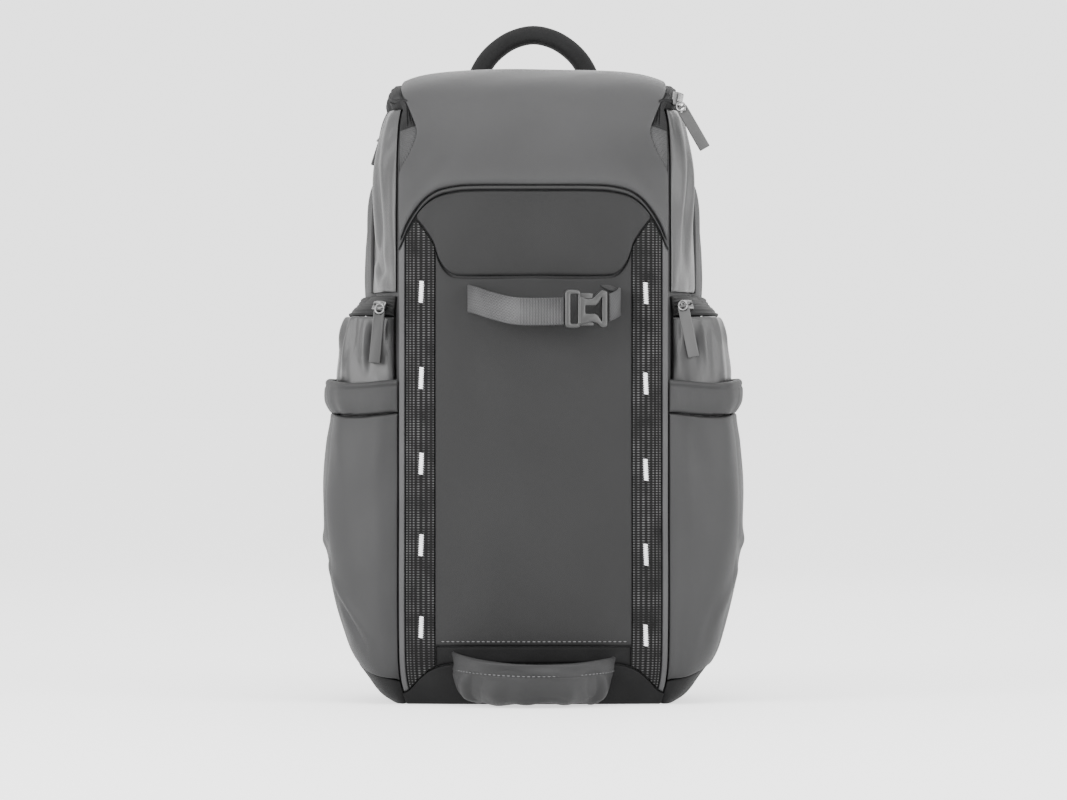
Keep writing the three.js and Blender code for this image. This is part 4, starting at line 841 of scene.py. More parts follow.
def side_relief(side):
    """A swelling near the top, long upright creases, a slanting fold above the left pocket, and
    slow waves."""
    rows = [(0.30, 0.425, 0.22, 0.330, 0.10, 0.0024), (0.62, 0.420, 0.70, 0.330, 0.12, 0.0022),
            (0.44, 0.400, 0.46, 0.320, 0.09, -0.0022), (0.85, 0.410, 0.80, 0.340, 0.08, -0.0016)]
    if side < 0:
        rows += [(0.98, 0.338, 0.20, 0.312, 0.08, -0.0030), (0.80, 0.322, 0.25, 0.306, 0.08, 0.0022)]

    def relief(u, v, at):
        folds = creases(u * SIDE_SPAN, at[..., 2], [
            (a * SIDE_SPAN, b, c * SIDE_SPAN, d, w * SIDE_SPAN * 1.2, h) for a, b, c, d, w, h in rows])
        swell = SIDE_SWELL * np.sin(np.pi * smooth_step(at[..., 2], 0.34, 0.445)) * np.sin(np.pi * u) ** 0.5
        return folds + swell + ripples(u * SIDE_SPAN, at[..., 2], 0.0008, 0.045, 21 + side, 3.0)
    return relief


side_nylon = woven("side_nylon", 0.006, 0.015, pitch=0.0008, relief=0.00012, roughness=0.36, mottle=18,
                   specular=0.5, crumple=0.009)
for side, name in ((-1, "left"), (1, "right")):
    panel(f"side_nylon_{name}",
          lambda u, v, side=side: side_point(
              side, mix(0.06, 0.97, u), mix(SIDE_PANEL_FOOT, SIDE_PANEL_TOP, v)),
          (90, 110), PANEL_THICKNESS, side_nylon, [f"side_panel_{name}"], lift=GAP,
          relief=side_relief(side), edge=0.006)
    panel(f"side_cord_{name}",
          lambda u, v, side=side: side_point(
              side, mix(0.985, 1.03, u), mix(SIDE_PANEL_FOOT, SIDE_PANEL_TOP - SEAM_GAP, v)),
          (5, 100), PIPING_THICKNESS, piping_cloth, [f"side_piping_{name}"], lift=GAP,
          edge=0.0016)


# The side pockets
# Below the side panel a zipped pocket bulges out of a gathered cuff, and below the cuff hangs a
# slip pocket for a bottle, with a darker corner panel closing it to the base.
POCKET_HALF_WIDTH = 0.156
POCKET_REAR_Y = 0.046
UPPER_POCKET_HALF_WIDTH = 0.1465
UPPER_POCKET_INSET = 0.007
UPPER_POCKET_BOTTOM = 0.186
UPPER_POCKET_TOP = 0.284
POCKET_ZIP_TOP = 0.299
CUFF_BOTTOM = 0.214
CUFF_TOP = 0.238
CUFF_THICKNESS = 0.0025
CUFF_SAG = 0.0025
POCKET_WIDEST = 0.64
POCKET_SWELL = 0.0028
POCKET_SPAN = 0.17
UPPER_FOLDS = 11
FOLD_TOP = 0.283
FOLD_WIDTH = 0.0045
SLIP_OUTLINE = [
    (0.0, 0.65), (0.03, 0.725), (0.085, 0.79), (0.15, 0.86), (0.21, 0.897), (0.32, 0.945), (0.47, 0.985),
    (0.64, 1.0), (0.8, 0.985), (0.9, 0.966), (0.94, 0.985), (1.0, 0.984),
]
UPPER_OUTLINE = [
    (0.65, 0.8), (0.665, 0.9), (0.72, 0.98), (0.85, 0.998), (0.94, 0.974), (0.985, 0.956), (1.0, 0.942),
]
# The way round from the front seam to the rear seam, how far out and how far back, as shares.
POCKET_PLAN = [
    (0.0, 0.0, 0.0), (0.16, 0.3, 0.0), (0.34, 0.68, 0.07), (0.5, 0.92, 0.2), (0.64, 1.0, 0.38),
    (0.78, 0.95, 0.66), (0.9, 0.6, 0.88), (1.0, 0.0, 1.0),
]
CORNER_SEAM = [(0.0, 0.6), (0.3, 0.75), (0.6, 1.0), (1.0, 1.25)]
slip_outline = curve_through(SLIP_OUTLINE)
upper_outline = curve_through(UPPER_OUTLINE)
pocket_plan = curve_through(POCKET_PLAN)
corner_seam = curve_through(CORNER_SEAM)


def pocket_point(side, round_, z, reach, inner=0.0):
    """A pocket's inner face: out from the nearer body seam to its reach, and back from the front
    seam to the rear one, both by the shares of its plan."""
    out, back = pocket_plan(round_)
    front_seam = side_point(1, np.full(np.shape(z), inner / (FRONT_DEPTH + SEAM_Y)), z)[..., 0] + SEAM_GAP
    rear_seam = side_point(1, np.full(np.shape(z), 2.0), z)[..., 0] + SEAM_GAP
    anchor = np.where(round_ < POCKET_WIDEST, front_seam, rear_seam)
    y = mix(-fore_at(z) + FRONT_CROWN + inner, POCKET_REAR_Y - inner, back)
    return points(side * mix(anchor, np.maximum(reach, rear_seam + GAP), out), y, z)


def slip_reach(z):
    """The slip pocket's half width at a height."""
    return slip_outline(z / CUFF_TOP)[0] * POCKET_HALF_WIDTH


def upper_reach(z):
    """The zipped pocket's half width at a height."""
    return upper_outline(z / UPPER_POCKET_TOP)[0] * UPPER_POCKET_HALF_WIDTH


def corner_height(round_):
    """How high the corner panel reaches along the way round the pocket."""
    return corner_seam(round_)[0] * FRONT_SEAM_HEIGHT


def pocket_sheet(side, low, high, reach, inner=0.0):
    """A pocket's surface between two heights, which may change along the way round it."""
    def surface(u, v):
        z = mix(low(u), high(u), v)
        return pocket_point(side, u, z, reach(z), inner)
    return surface


def level(height):
    """An edge at one height all the way round."""
    return lambda u: height + 0 * u


def sagging(height):
    """The cuff's elastic hangs a little lower half way along the pocket's front."""
    return lambda u: height - CUFF_SAG * np.sin(np.pi * np.clip(u / POCKET_WIDEST, 0, 1)) ** 2


def cuff_reach(z):
    """As far out as the slip pocket, with the cuff's upper and lower corners rounded off."""
    share = (z - (CUFF_BOTTOM + CUFF_TOP) / 2) / (CUFF_TOP - CUFF_BOTTOM) * 2
    return slip_reach(z) - CUFF_THICKNESS - 0.0025 * np.clip(np.abs(share), 0, 1) ** 5 + 0.001


def zip_band_point(side, u, v):
    """From the pocket's top edge (v = 0) straight in to the body (v = 1)."""
    top = np.full(np.shape(u), UPPER_POCKET_TOP + GAP)
    outer = pocket_point(side, u, top, upper_reach(top) - PANEL_THICKNESS, UPPER_POCKET_INSET)
    inner = side_point(side, mix(0.06, 1.95, u), np.full(np.shape(u), POCKET_ZIP_TOP))
    return outer + (inner - outer) * v[..., None]


def zip_band_relief(u, v, at):
    """Six fine ribs along the band, and the ridge of its coils."""
    return 0.0003 * np.sin(2 * np.pi * v * 6) + 0.0008 * np.exp(-((v - 0.3) / 0.08) ** 2)


def front_swell(u):
    """A pocket's front stands proud between its front seam and its widest line."""
    return POCKET_SWELL * np.sin(np.pi * np.clip(u / 0.5, 0, 1)) ** 0.7


def upper_relief(side):
    """Upright soft creases that fall from the zip and fade towards the cuff."""
    rng = np.random.default_rng(31 + side)
    place = np.linspace(0.020, 0.150, UPPER_FOLDS) + rng.uniform(-0.003, 0.003, UPPER_FOLDS)
    foot = place + rng.uniform(-0.004, 0.004, UPPER_FOLDS)
    low = FOLD_TOP - rng.uniform(0.018, 0.042, UPPER_FOLDS)
    stronger = 1.25 if side < 0 else 0.8
    rise = np.where(np.arange(UPPER_FOLDS) % 2, -0.0013, 0.0019) * stronger
    rows = [(a, FOLD_TOP, b, c, FOLD_WIDTH, h) for a, b, c, h in zip(place, foot, low, rise)]

    def relief(u, v, at):
        waves = ripples(u * POCKET_SPAN, at[..., 2], 0.0005, 0.03, 41 + side, 2.0)
        return creases(u * POCKET_SPAN, at[..., 2], rows) + waves + front_swell(u)
    return relief


def slip_relief(side):
    """A pinched dimple at the outer edge, gathers under the cuff, slanting folds on the left one
    and a few slow waves."""
    rows = [(0.094, 0.114, 0.110, 0.104, 0.006, -0.0045), (0.098, 0.122, 0.116, 0.117, 0.007, 0.0020),
            (0.030, 0.205, 0.036, 0.165, 0.010, -0.0012), (0.070, 0.208, 0.060, 0.175, 0.010, 0.0012)]
    if side < 0:
        rows += [(0.098, 0.104, 0.040, 0.050, 0.006, 0.0020), (0.088, 0.088, 0.050, 0.044, 0.005, -0.0022),
                 (0.040, 0.150, 0.024, 0.095, 0.010, -0.0012), (0.085, 0.180, 0.092, 0.125, 0.012, 0.0012)]
    else:
        rows += [(0.100, 0.100, 0.070, 0.066, 0.007, 0.0016), (0.060, 0.080, 0.050, 0.040, 0.010, -0.0014)]

    def relief(u, v, at):
        waves = ripples(u * POCKET_SPAN, at[..., 2], 0.0006, 0.05, 51 + side, 1.6)
        return creases(u * POCKET_SPAN, at[..., 2], rows) + waves + front_swell(u)
    return relief


def cuff_relief(side):
    """A rolled top edge, a stitched hollow along the foot and small gathers round the cuff."""
    def relief(u, v, at):
        gathers = ripples(u * POCKET_SPAN, at[..., 2], 0.0004, 0.020, 61 + side, 3.0)
        roll = 0.0005 * np.exp(-((v - 0.90) / 0.06) ** 2)
        return gathers + roll - 0.0006 * np.exp(-((v - 0.80) / 0.04) ** 2) + front_swell(u)
    return relief


pocket_cloth = woven("pocket_cloth", 0.016, 0.021, pitch=0.0008, relief=0.00012, roughness=0.55, mottle=16,
                     crumple=0.0018)
upper_cloth = woven("upper_pocket_cloth", 0.006, 0.015, pitch=0.0008, relief=0.00012, roughness=0.36,
                    mottle=22, specular=0.45, crumple=0.012)
cuff_cloth = woven("cuff_cloth", 0.016, 0.024, pitch=0.0008, relief=0.00015, roughness=0.6, mottle=20,
                   crumple=0.0022)
zip_cloth = woven("zip_band_cloth", 0.002, 0.004, pitch=0.0016, relief=0.0003, roughness=0.7, ribs=0.6)
for side, name in ((-1, "left"), (1, "right")):
    panel(f"upper_pocket_{name}",
          pocket_sheet(side, level(UPPER_POCKET_BOTTOM), level(UPPER_POCKET_TOP),
                       lambda z: upper_reach(z) - PANEL_THICKNESS, UPPER_POCKET_INSET),
          (130, 80), PANEL_THICKNESS, upper_cloth, [f"side_pocket_{name}"],
          relief=upper_relief(side))
    panel(f"zip_band_{name}",
          lambda u, v, side=side: zip_band_point(side, u, v),
          (130, 26), PANEL_THICKNESS, zip_cloth, [f"pocket_zip_{name}"], lift=GAP,
          relief=zip_band_relief)
    panel(f"cuff_cloth_{name}",
          pocket_sheet(side, sagging(CUFF_BOTTOM), sagging(CUFF_TOP), cuff_reach),
          (150, 26), CUFF_THICKNESS, cuff_cloth, [f"cuff_{name}"], relief=cuff_relief(side))
    panel(f"slip_cloth_{name}",
          pocket_sheet(side, corner_height, sagging(CUFF_BOTTOM - SEAM_GAP),
                       lambda z: slip_reach(z) - PANEL_THICKNESS),
          (130, 110), PANEL_THICKNESS, pocket_cloth, [f"slip_pocket_{name}"],
          relief=slip_relief(side))
    panel(f"corner_cloth_{name}",
          pocket_sheet(side, level(BASE_THICKNESS / 4), lambda u: corner_height(u) - SEAM_GAP,
                       lambda z: slip_reach(z) - PANEL_THICKNESS),
          (110, 24), PANEL_THICKNESS, base_cloth, [f"corner_{name}"])


# The load strap
# A light grey webbing sewn to the front at its left foot, standing off it in a low arch as round
# a load, with a side-release buckle whose short tail goes back into a slit in the front.
STRAP_HEIGHT = 0.020
STRAP_THICKNESS = 0.0018
STRAP_STAND_OFF = 0.026
STRAP_LEFT_X = -0.047
STRAP_RIGHT_X = 0.062
BUCKLE_LEFT_X = 0.022
BUCKLE_LENGTH = 0.032
BUCKLE_Z = 0.289
DOUBLED_RIB_PITCH = 0.0021
SLIT_LEFT = (0.049, 0.3065)
SLIT_RIGHT = (0.063, 0.3025)
SLIT_WIDTH = 0.004
STRAP_ROUTE = [
    (0.0, 0.0, 0.5), (0.08, 0.42, 0.42), (0.25, 0.8, 0.22), (0.48, 0.97, 0.03), (0.75, 1.0, 0.0),
    (1.0, 0.96, 0.02),
]
strap_route = curve_through(STRAP_ROUTE)


def strap_middle(t):
    """Its middle line: across at an even rate, standing off and rising by the shares of its route."""
    off, rise = strap_route(t)
    line = front_point(mix(STRAP_LEFT_X, BUCKLE_LEFT_X - GAP, t), BUCKLE_Z - 0.002 + rise * STRAP_HEIGHT)
    line[..., 1] -= off * STRAP_STAND_OFF + PANEL_THICKNESS + SEAM_GAP
    return line


def tail_middle(t):
    """The tail falls back to the front panel, at first steeply."""
    x = mix(BUCKLE_LEFT_X + BUCKLE_LENGTH + GAP, STRAP_RIGHT_X, np.sin(t * np.pi / 2))
    line = front_point(x, BUCKLE_Z + mix(0.001, 0.006, t))
    line[..., 1] -= mix(STRAP_STAND_OFF * 0.75, 0, t) + PANEL_THICKNESS + SEAM_GAP
    return line


def strap_surface(middle):
    """A strap standing on edge along its middle line."""
    def surface(u, v):
        line = middle(u)
        line[..., 2] += (v - 0.5) * STRAP_HEIGHT
        return line
    return surface


def strap_relief(u, v, at):
    """Slanting threads on the single part, and upright ribs where the strap is doubled and sewn."""
    doubled = smooth_step(at[..., 0], -0.012, -0.009)
    ribs = 0.0004 * np.sin(2 * np.pi * at[..., 0] / DOUBLED_RIB_PITCH)
    threads = 0.00012 * np.sin(2 * np.pi * (at[..., 2] + 0.35 * at[..., 0]) / 0.0019)
    return mix(threads, ribs + 0.0006, doubled)


strap_cloth = woven("strap_cloth", 0.022, 0.062, pitch=0.0024, relief=0.0006, roughness=0.7)
panel("load_strap_webbing", strap_surface(strap_middle), (230, 70), STRAP_THICKNESS, strap_cloth,
      ["load_strap"], relief=strap_relief, edge=0.0007)
panel("strap_tail", strap_surface(tail_middle), (30, 24), STRAP_THICKNESS, strap_cloth,
      ["strap_end"], edge=0.0007)


def slit_surface(u, v):
    """The slit that the tail comes out of: a narrow slanting lens on the front."""
    middle = mix(SLIT_LEFT[1], SLIT_RIGHT[1], u)
    lens = (v - 0.5) * SLIT_WIDTH * np.sin(np.pi * mix(0.06, 0.94, u))
    return on_front(mix(SLIT_LEFT[0], SLIT_RIGHT[0], u), middle + lens)


panel("strap_slit", slit_surface, (30, 6), 0.0008, piping_cloth,
      lift=GAP + PANEL_THICKNESS, edge=0.0006)


# The foot cup
# A soft cup sewn to the foot of the front, folded out: a U-shaped wall with a wide hem, turned in
# to a floor.
CUP_HALF_WIDTH = 0.058
CUP_FORWARD = 0.050
CUP_HEIGHT = 0.038
HEM_ROWS = (0.27, 0.28, 0.29)
CUP_SPAN = 0.17
CUP_DEPTH = 0.09
CUP_THICKNESS = 0.002
CUP_SECTIONS = [
    (0.0, 1.0, 1.0, 1.0), (0.35, 0.62, 0.97, 0.97), (0.6, 0.25, 0.89, 0.88), (0.75, 0.11, 0.77, 0.76),
    (1.0, 0.1, 0.7, 0.04),
]
# Folds from the place round and down the wall where each starts to where it ends, both in metres.
CUP_FOLDS = [
    (0.030, 0.028, 0.018, 0.062, 0.006, 0.0034), (0.044, 0.030, 0.030, 0.064, 0.006, -0.0030),
    (0.060, 0.034, 0.052, 0.066, 0.007, 0.0024), (0.085, 0.030, 0.088, 0.064, 0.007, -0.0024),
    (0.108, 0.032, 0.114, 0.066, 0.007, 0.0028), (0.128, 0.028, 0.142, 0.064, 0.006, -0.0030),
    (0.140, 0.026, 0.153, 0.060, 0.006, 0.0030),
]
cup_section = curve_through(CUP_SECTIONS)


def cup_surface(u, v):
    """Half an ellipse at each height, narrowing down the wall and then closing in to the floor.
    Its mouth stands highest at the left and hangs lower towards the middle and the right."""
    high, half, forward = cup_section(v)
    angle = mix(-np.pi / 2, np.pi / 2, u)
    x = half * CUP_HALF_WIDTH * np.sin(angle)
    mouth = (0.04 - 0.10 * u - 0.14 * np.sin(np.pi * u) ** 2) * (1 - smooth_step(v, 0.0, 0.6))
    z = high * CUP_HEIGHT * (1 + mouth)
    sewn_to = on_front(x, z)[..., 1] - BASE_THICKNESS - 3 * GAP
    return points(x, sewn_to - forward * CUP_FORWARD * np.sqrt(np.cos(angle) ** 2 + 1e-9), z)


def cup_relief(u, v, at):
    """Soft upright folds under the hem, and the hollow of the hem's stitches."""
    folds = creases(u * CUP_SPAN, v * CUP_DEPTH, CUP_FOLDS)
    hem = 0.0005 * np.exp(-((v - 0.31) / 0.015) ** 2)
    return folds - hem + ripples(u * CUP_SPAN, v * CUP_DEPTH, 0.0009, 0.035, 71)


cup_core = np.array((0, -fore_at(np.array(0.0)) - CUP_FORWARD * 0.3, CUP_HEIGHT))
cup_cloth = woven("cup_cloth", 0.013, 0.021, pitch=0.0008, relief=0.00012, roughness=0.6, mottle=20,
                  crumple=0.002)
cup = panel("cup", cup_surface, (120, 90), CUP_THICKNESS, cup_cloth, ["foot_cup"],
            relief=cup_relief, core=cup_core)
hem_u, hem_v = np.meshgrid(np.linspace(0.03, 0.97, 160), HEM_ROWS)
hem_row = cup_surface(hem_u, hem_v)
hem_up = normals(hem_row)[1]
hem_up = hem_up * np.sign(np.sum(hem_up * (hem_row[1] - cup_core), -1, keepdims=True))
cup_thread = hem_row[1] + hem_up * (CUP_THICKNESS + 0.0002)
stitch_row("cup_stitches", cup_thread, hem_up, 0.0037, 0.0008, grey_thread)


# The grab handle
# A padded arch of dark woven cloth, both feet sewn to the top of the back behind the lid.
HANDLE_SECTION = 0.0145
HANDLE_DEPTH = 0.020
# Half its middle line, from a foot up over to the top: how far out and how high.
HANDLE_LINE = [
    (0.0, 0.0450, 0.4240), (0.18, 0.0458, 0.4470), (0.36, 0.0440, 0.4650), (0.52, 0.0385, 0.4785),
    (0.68, 0.0295, 0.4895), (0.84, 0.0160, 0.4985), (1.0, 0.0, 0.5022), (1.16, -0.0160, 0.4985),
]
handle_line = curve_through(HANDLE_LINE)


def handle_rings():
    """A rounded section carried up one leg, over the arch and down the other leg."""
    y = BACK_DEPTH * 1.026 + LID_THICKNESS + 2 * GAP + HANDLE_DEPTH / 2
    half = np.stack(handle_line(np.linspace(0, 1, 46)), -1)
    line = np.concatenate([half * (-1, 1), half[-2::-1]])
    ahead = np.gradient(line, axis=0)
    ahead /= np.linalg.norm(ahead, axis=1, keepdims=True)
    outward = points(-ahead[:, 1], 0, ahead[:, 0])[:, None]
    around = np.arange(36) * 2 * np.pi / 36
    swell = 1.08 - 0.10 * np.sin(np.linspace(0, np.pi, len(line)))[:, None]
    square = (np.abs(np.cos(around)) ** 3 + np.abs(np.sin(around)) ** 3) ** (-1 / 3)
    off = swell * square * np.cos(around) * HANDLE_SECTION / 2
    back = swell * square * np.sin(around) * HANDLE_DEPTH / 2
    return points(line[:, :1], y + back, line[:, 1:]) + outward * off[..., None]


handle_cloth = woven("handle_cloth", 0.005, 0.010, pitch=0.0012, relief=0.0003, roughness=0.75, specular=0.1)
handle = tube("grab_handle", handle_rings(), handle_cloth, ["carry_handle"])


# The hard pieces
# Moulded nylon and die-cast metal: the buckle's two halves, and the four sliders with the wire
# ring and the pull that hang from each.
def moulded(name, shade, roughness, metallic=0.0):
    """Moulded or cast material: an even colour with a fine grain and slight wear in its shine."""
    material, tree, surface = shader(name)
    place = add_node(tree, "ShaderNodeTexCoord").outputs["Object"]
    grain = noise(tree, place, 900.0, 3.0)
    slow = noise(tree, place, 120.0, 4.0)
    greys = grey_ramp(tree, slow, 0.0, shade * 0.85, 1.0, shade * 1.12)
    tree.links.new(greys, surface.inputs["Base Color"])
    spread = add_node(tree, "ShaderNodeMapRange", {0: slow, 3: roughness - 0.08, 4: roughness + 0.1})
    tree.links.new(spread.outputs[0], surface.inputs["Roughness"])
    surface.inputs["Metallic"].default_value = metallic
    bump = bumped(tree, grain, 0.2, 0.0001)
    tree.links.new(bump.outputs[0], surface.inputs["Normal"])
    return material


def rounded(corners, radius):
    """A closed outline through corners in millimetres, each rounded off by a short curve that
    leaves and meets its two sides at the radius."""
    here = np.array(corners, float)
    before, after = np.roll(here, 1, 0) - here, np.roll(here, -1, 0) - here
    start = here + before / np.linalg.norm(before, axis=1, keepdims=True) * radius
    end = here + after / np.linalg.norm(after, axis=1, keepdims=True) * radius
    t = np.linspace(0, 1, 6)[None, :, None]
    curve = (1 - t) ** 2 * start[:, None] + 2 * t * (1 - t) * here[:, None] + t**2 * end[:, None]
    return curve.reshape(-1, 2) / 1000


def flat_moulding(name, loops, thickness, bevel, place, across, up, material, nodes=()):
    """A flat moulded piece: its outline and openings drawn out to the thickness, with rounded
    edges, and set at its place with its own directions across, up and, between them, facing."""
    drawing = bpy.data.curves.new(name, "CURVE")
    drawing.dimensions, drawing.fill_mode = "2D", "BOTH"
    drawing.extrude, drawing.bevel_depth = thickness / 2 - bevel, bevel
    drawing.offset, drawing.bevel_resolution = -bevel, 2
    for loop in loops:
        line = drawing.splines.new("POLY")
        line.points.add(len(loop) - 1)
        line.points.foreach_set("co", np.concatenate([loop, np.zeros_like(loop)], 1).ravel())
        line.use_cyclic_u = True
    mesh = bpy.data.meshes.new_from_object(bpy.data.objects.new(name, drawing))
    mended = bmesh.new()
    mended.from_mesh(mesh)
    bmesh.ops.remove_doubles(mended, verts=mended.verts, dist=0.00002)
    bmesh.ops.recalc_face_normals(mended, faces=mended.faces)
    mended.to_mesh(mesh)
    mended.free()
    axes = np.array([across, up, np.cross(across, up)], float)
    axes /= np.linalg.norm(axes, axis=1, keepdims=True)
    mesh.vertices.foreach_set("co", (coordinates(mesh) @ axes + place).ravel())
    mesh.shade_smooth()
    mesh.set_sharp_from_angle(angle=0.6)
    mesh.materials.clear()
    mesh.materials.append(material)
    return sewn_on(name, mesh, nodes)


def wire(name, line, radius, material):
    """A round wire along a line of points: at each, a circle square to the way ahead."""
    ahead = np.gradient(line, axis=0)
    ahead /= np.linalg.norm(ahead, axis=1, keepdims=True)
    beside = np.cross(ahead, np.roll(ahead, 1, 1) + (0.3, 0.1, 0.2))
    beside = np.cross(ahead, np.cross(ahead[len(line) // 2], ahead[0]) + beside.mean(0) * 0.001)
    beside /= np.linalg.norm(beside, axis=1, keepdims=True)
    turn = np.linspace(0, 2 * np.pi, 13)[:-1, None]
    circle = beside[:, None] * np.cos(turn) + np.cross(ahead, beside)[:, None] * np.sin(turn)
    return tube(name, line[:, None] + radius * circle, material)


buckle_plastic = moulded("buckle_plastic", 0.009, 0.42)
dark_plastic = moulded("dark_plastic", 0.007, 0.5)
grey_rubber = moulded("grey_rubber", 0.026, 0.5)
zip_metal = moulded("zip_metal", 0.14, 0.34, 1.0)
# The socket half is a frame round the strap, and the prong half a waisted plate with a flared
# opening; two short arms join them. Corners are in millimetres from the buckle's middle.
SOCKET_FRAME = [(-16, -14.0), (-4.2, -14.0), (-4.2, 14.0), (-16, 14.0)]
SOCKET_OPENING = [(-11.6, -10.6), (-6.4, -10.6), (-6.4, 10.6), (-11.6, 10.6)]
PRONG_PLATE = [
    (-5.2, -11.6), (-1.0, -10.4), (4.0, -9.2), (8.4, -10.6), (11.4, -13.8), (15.6, -12.6), (15.6, 12.8),
    (11.4, 14.0), (8.0, 11.0), (4.8, 7.6), (0.8, 7.0), (-5.2, 9.4),
]
PRONG_OPENING = [
    (-0.8, -3.3), (6.6, -3.3), (8.6, -4.8), (11.6, -9.4), (11.6, 8.8), (8.6, 4.0), (6.6, 2.4), (-0.8, 2.4),
]
PRONG_ARMS = [
    [(-5.0, -12.2), (6.0, -12.2), (6.0, -8.0), (-5.0, -8.0)],
    [(-5.0, 7.0), (5.2, 7.0), (5.2, 11.6), (-5.0, 11.6)],
]
buckle_place = np.array((0.038, -0.1212, BUCKLE_Z))
buckle_across = np.array((0.974, 0.226, 0))
buckle_up = np.array((0, 0, 1))
buckle_facing = np.cross(buckle_across, buckle_up)
flat_moulding("buckle_frame", [rounded(SOCKET_FRAME, 3.6), rounded(SOCKET_OPENING, 1.0)], 0.0052, 0.0014,
              buckle_place, buckle_across, buckle_up, buckle_plastic, ["buckle_socket"])
flat_moulding("buckle_plate", [rounded(PRONG_PLATE, 1.5), rounded(PRONG_OPENING, 0.6)], 0.0058, 0.0009,
              buckle_place, buckle_across, buckle_up, buckle_plastic, ["buckle_prongs"])
for arm, name in zip(PRONG_ARMS, ("lower", "upper")):
    flat_moulding(f"buckle_arm_{name}", [rounded(arm, 1.2)], 0.0030, 0.0007,
                  buckle_place - 0.0006 * buckle_facing, buckle_across, buckle_up, buckle_plastic)

# Each zip pull: its name, the pull's material, the slider's place, way and face, and the pull's
# upper end, lower end and face, in metres.
ZIP_PULLS = [
    ("top", grey_rubber, "pull_grey", (0.1060, -0.0500, 0.4450), (0.15, 0.34, 0.93), (0.30, -0.90, 0.30),
     (0.1085, -0.0575, 0.4395), (0.1265, -0.0560, 0.4085), (0.05, -1.0, 0.0)),
    ("left", dark_plastic, "pull_dark", (-0.1125, -0.0810, 0.2918), (-0.79, 0.61, 0.02), (-0.38, -0.62, 0.68),
     (-0.1126, -0.0893, 0.2900), (-0.1164, -0.0885, 0.2500), (-0.12, -1.0, 0.0)),
    ("right", grey_rubber, "pull_grey", (0.1115, -0.0812, 0.2925), (0.80, 0.60, -0.02), (0.38, -0.62, 0.68),
     (0.1092, -0.0895, 0.2925), (0.1172, -0.0887, 0.2545), (-0.14, -1.0, 0.0)),
    ("rear", dark_plastic, "pull_dark", (-0.1107, 0.0092, 0.4184), (-0.15, -0.99, -0.03), (-0.95, 0.10, 0.25),
     (-0.1140, 0.0092, 0.4200), (-0.1207, 0.0092, 0.3990), (-0.95, 0.0, 0.29)),
]
SLIDER_OUTLINE = [
    (-3.0, -5.4), (3.0, -5.4), (4.2, -0.5), (4.4, 5.0), (1.2, 5.6), (-1.2, 5.6), (-4.4, 5.0), (-4.2, -0.5),
]
PULL_WIDTH = 8.2
for name, pull_material, pull_slot, seat, seat_way, seat_face, head, foot, pull_face in ZIP_PULLS:
    seat, head, foot = np.array(seat), np.array(head), np.array(foot)
    directions = (seat_way, seat_face, pull_face)
    seat_way, seat_face, pull_face = (np.array(d) / np.linalg.norm(d) for d in directions)
    seat_face = seat_face - seat_way * (seat_face @ seat_way)
    seat_face /= np.linalg.norm(seat_face)
    seat_across = np.cross(seat_way, seat_face)
    flat_moulding(f"{name}_slider", [rounded(SLIDER_OUTLINE, 1.0)], 0.0034, 0.0008, seat, seat_across,
                  seat_way, zip_metal, [f"{name}_zip_slider"])
    bow = np.linspace(-1, 1, 17)[:, None]
    arch = seat + seat_way * bow * 0.0042 + seat_face * (0.0012 + 0.0030 * (1 - bow**4))
    wire(f"{name}_bridge", arch, 0.0008, zip_metal)
    pull_way = (head - foot) / np.linalg.norm(head - foot)
    pull_across = np.cross(pull_way, pull_face)
    pull_across /= np.linalg.norm(pull_across)
    length = np.linalg.norm(head - foot) * 500
    half = PULL_WIDTH / 2
    body = [(-half, -length), (half, -length), (half, length - 1.2), (half - 1.2, length),
            (-half + 1.2, length), (-half, length - 1.2)]
    eye = [(-2.2, length - 4.2), (2.2, length - 4.2), (2.2, length - 1.8), (-2.2, length - 1.8)]
    flat_moulding(f"{name}_pull", [rounded(body, 0.7), rounded(eye, 0.7)], 0.0026, 0.0006, (head + foot) / 2,
                  pull_across, pull_way, pull_material, [f"{name}_zip_pull"])
    turn = np.linspace(0, 2 * np.pi, 33)[:, None]
    ring_middle = head - pull_way * 0.0002 + pull_face * 0.0004
    ring_way = (pull_way + 0.5 * -pull_face) * 0.0034
    ring = ring_middle + pull_across * 0.0031 * np.cos(turn) + ring_way * np.sin(turn)
    wire(f"{name}_ring", ring, 0.0007, zip_metal)


# The back pad and the shoulder straps
# Foam under a dark spacer mesh: a flat-faced pad on the body's back and two curved straps, each
# joined to the body's lower corner by webbing through a ladder adjuster.
PAD_HALF_WIDTH = 0.098
PAD_BOTTOM = 0.062
PAD_TOP = 0.404
PAD_THICKNESS = 0.014
SHOULDER_HALF_WIDTH = 0.032
SHOULDER_THICKNESS = 0.010
SHOULDER_TOP_X = 0.052
SHOULDER_END_X = 0.084
SHOULDER_TOP_HEIGHT = 0.418
SHOULDER_END_HEIGHT = 0.150
SHOULDER_STAND_OFF = 0.046
ADJUSTER_LENGTH = 0.012
ADJUSTER_DROP = 0.003
TAIL_HALF_WIDTH = 0.0125
TAIL_THICKNESS = 0.0018
TAIL_FOOT_X = 0.098
TAIL_FOOT_HEIGHT = 0.046
SHOULDER_ROUTE = [
    (0.0, 0.0, 0.0, 0.8), (0.1, 0.45, -0.05, 0.95), (0.3, 0.92, -0.1, 1.0), (0.55, 1.0, 0.15, 0.98),
    (0.8, 0.8, 0.6, 0.85), (1.0, 0.5, 1.0, 0.6),
]
shoulder_route = curve_through(SHOULDER_ROUTE)
back_face = BACK_DEPTH + PAD_THICKNESS + 2 * GAP
PAD_CHANNEL_X = 0.030
PAD_CHANNEL_Z = (0.148, 0.233, 0.318)
PAD_CHANNEL_WIDTH = 0.0036
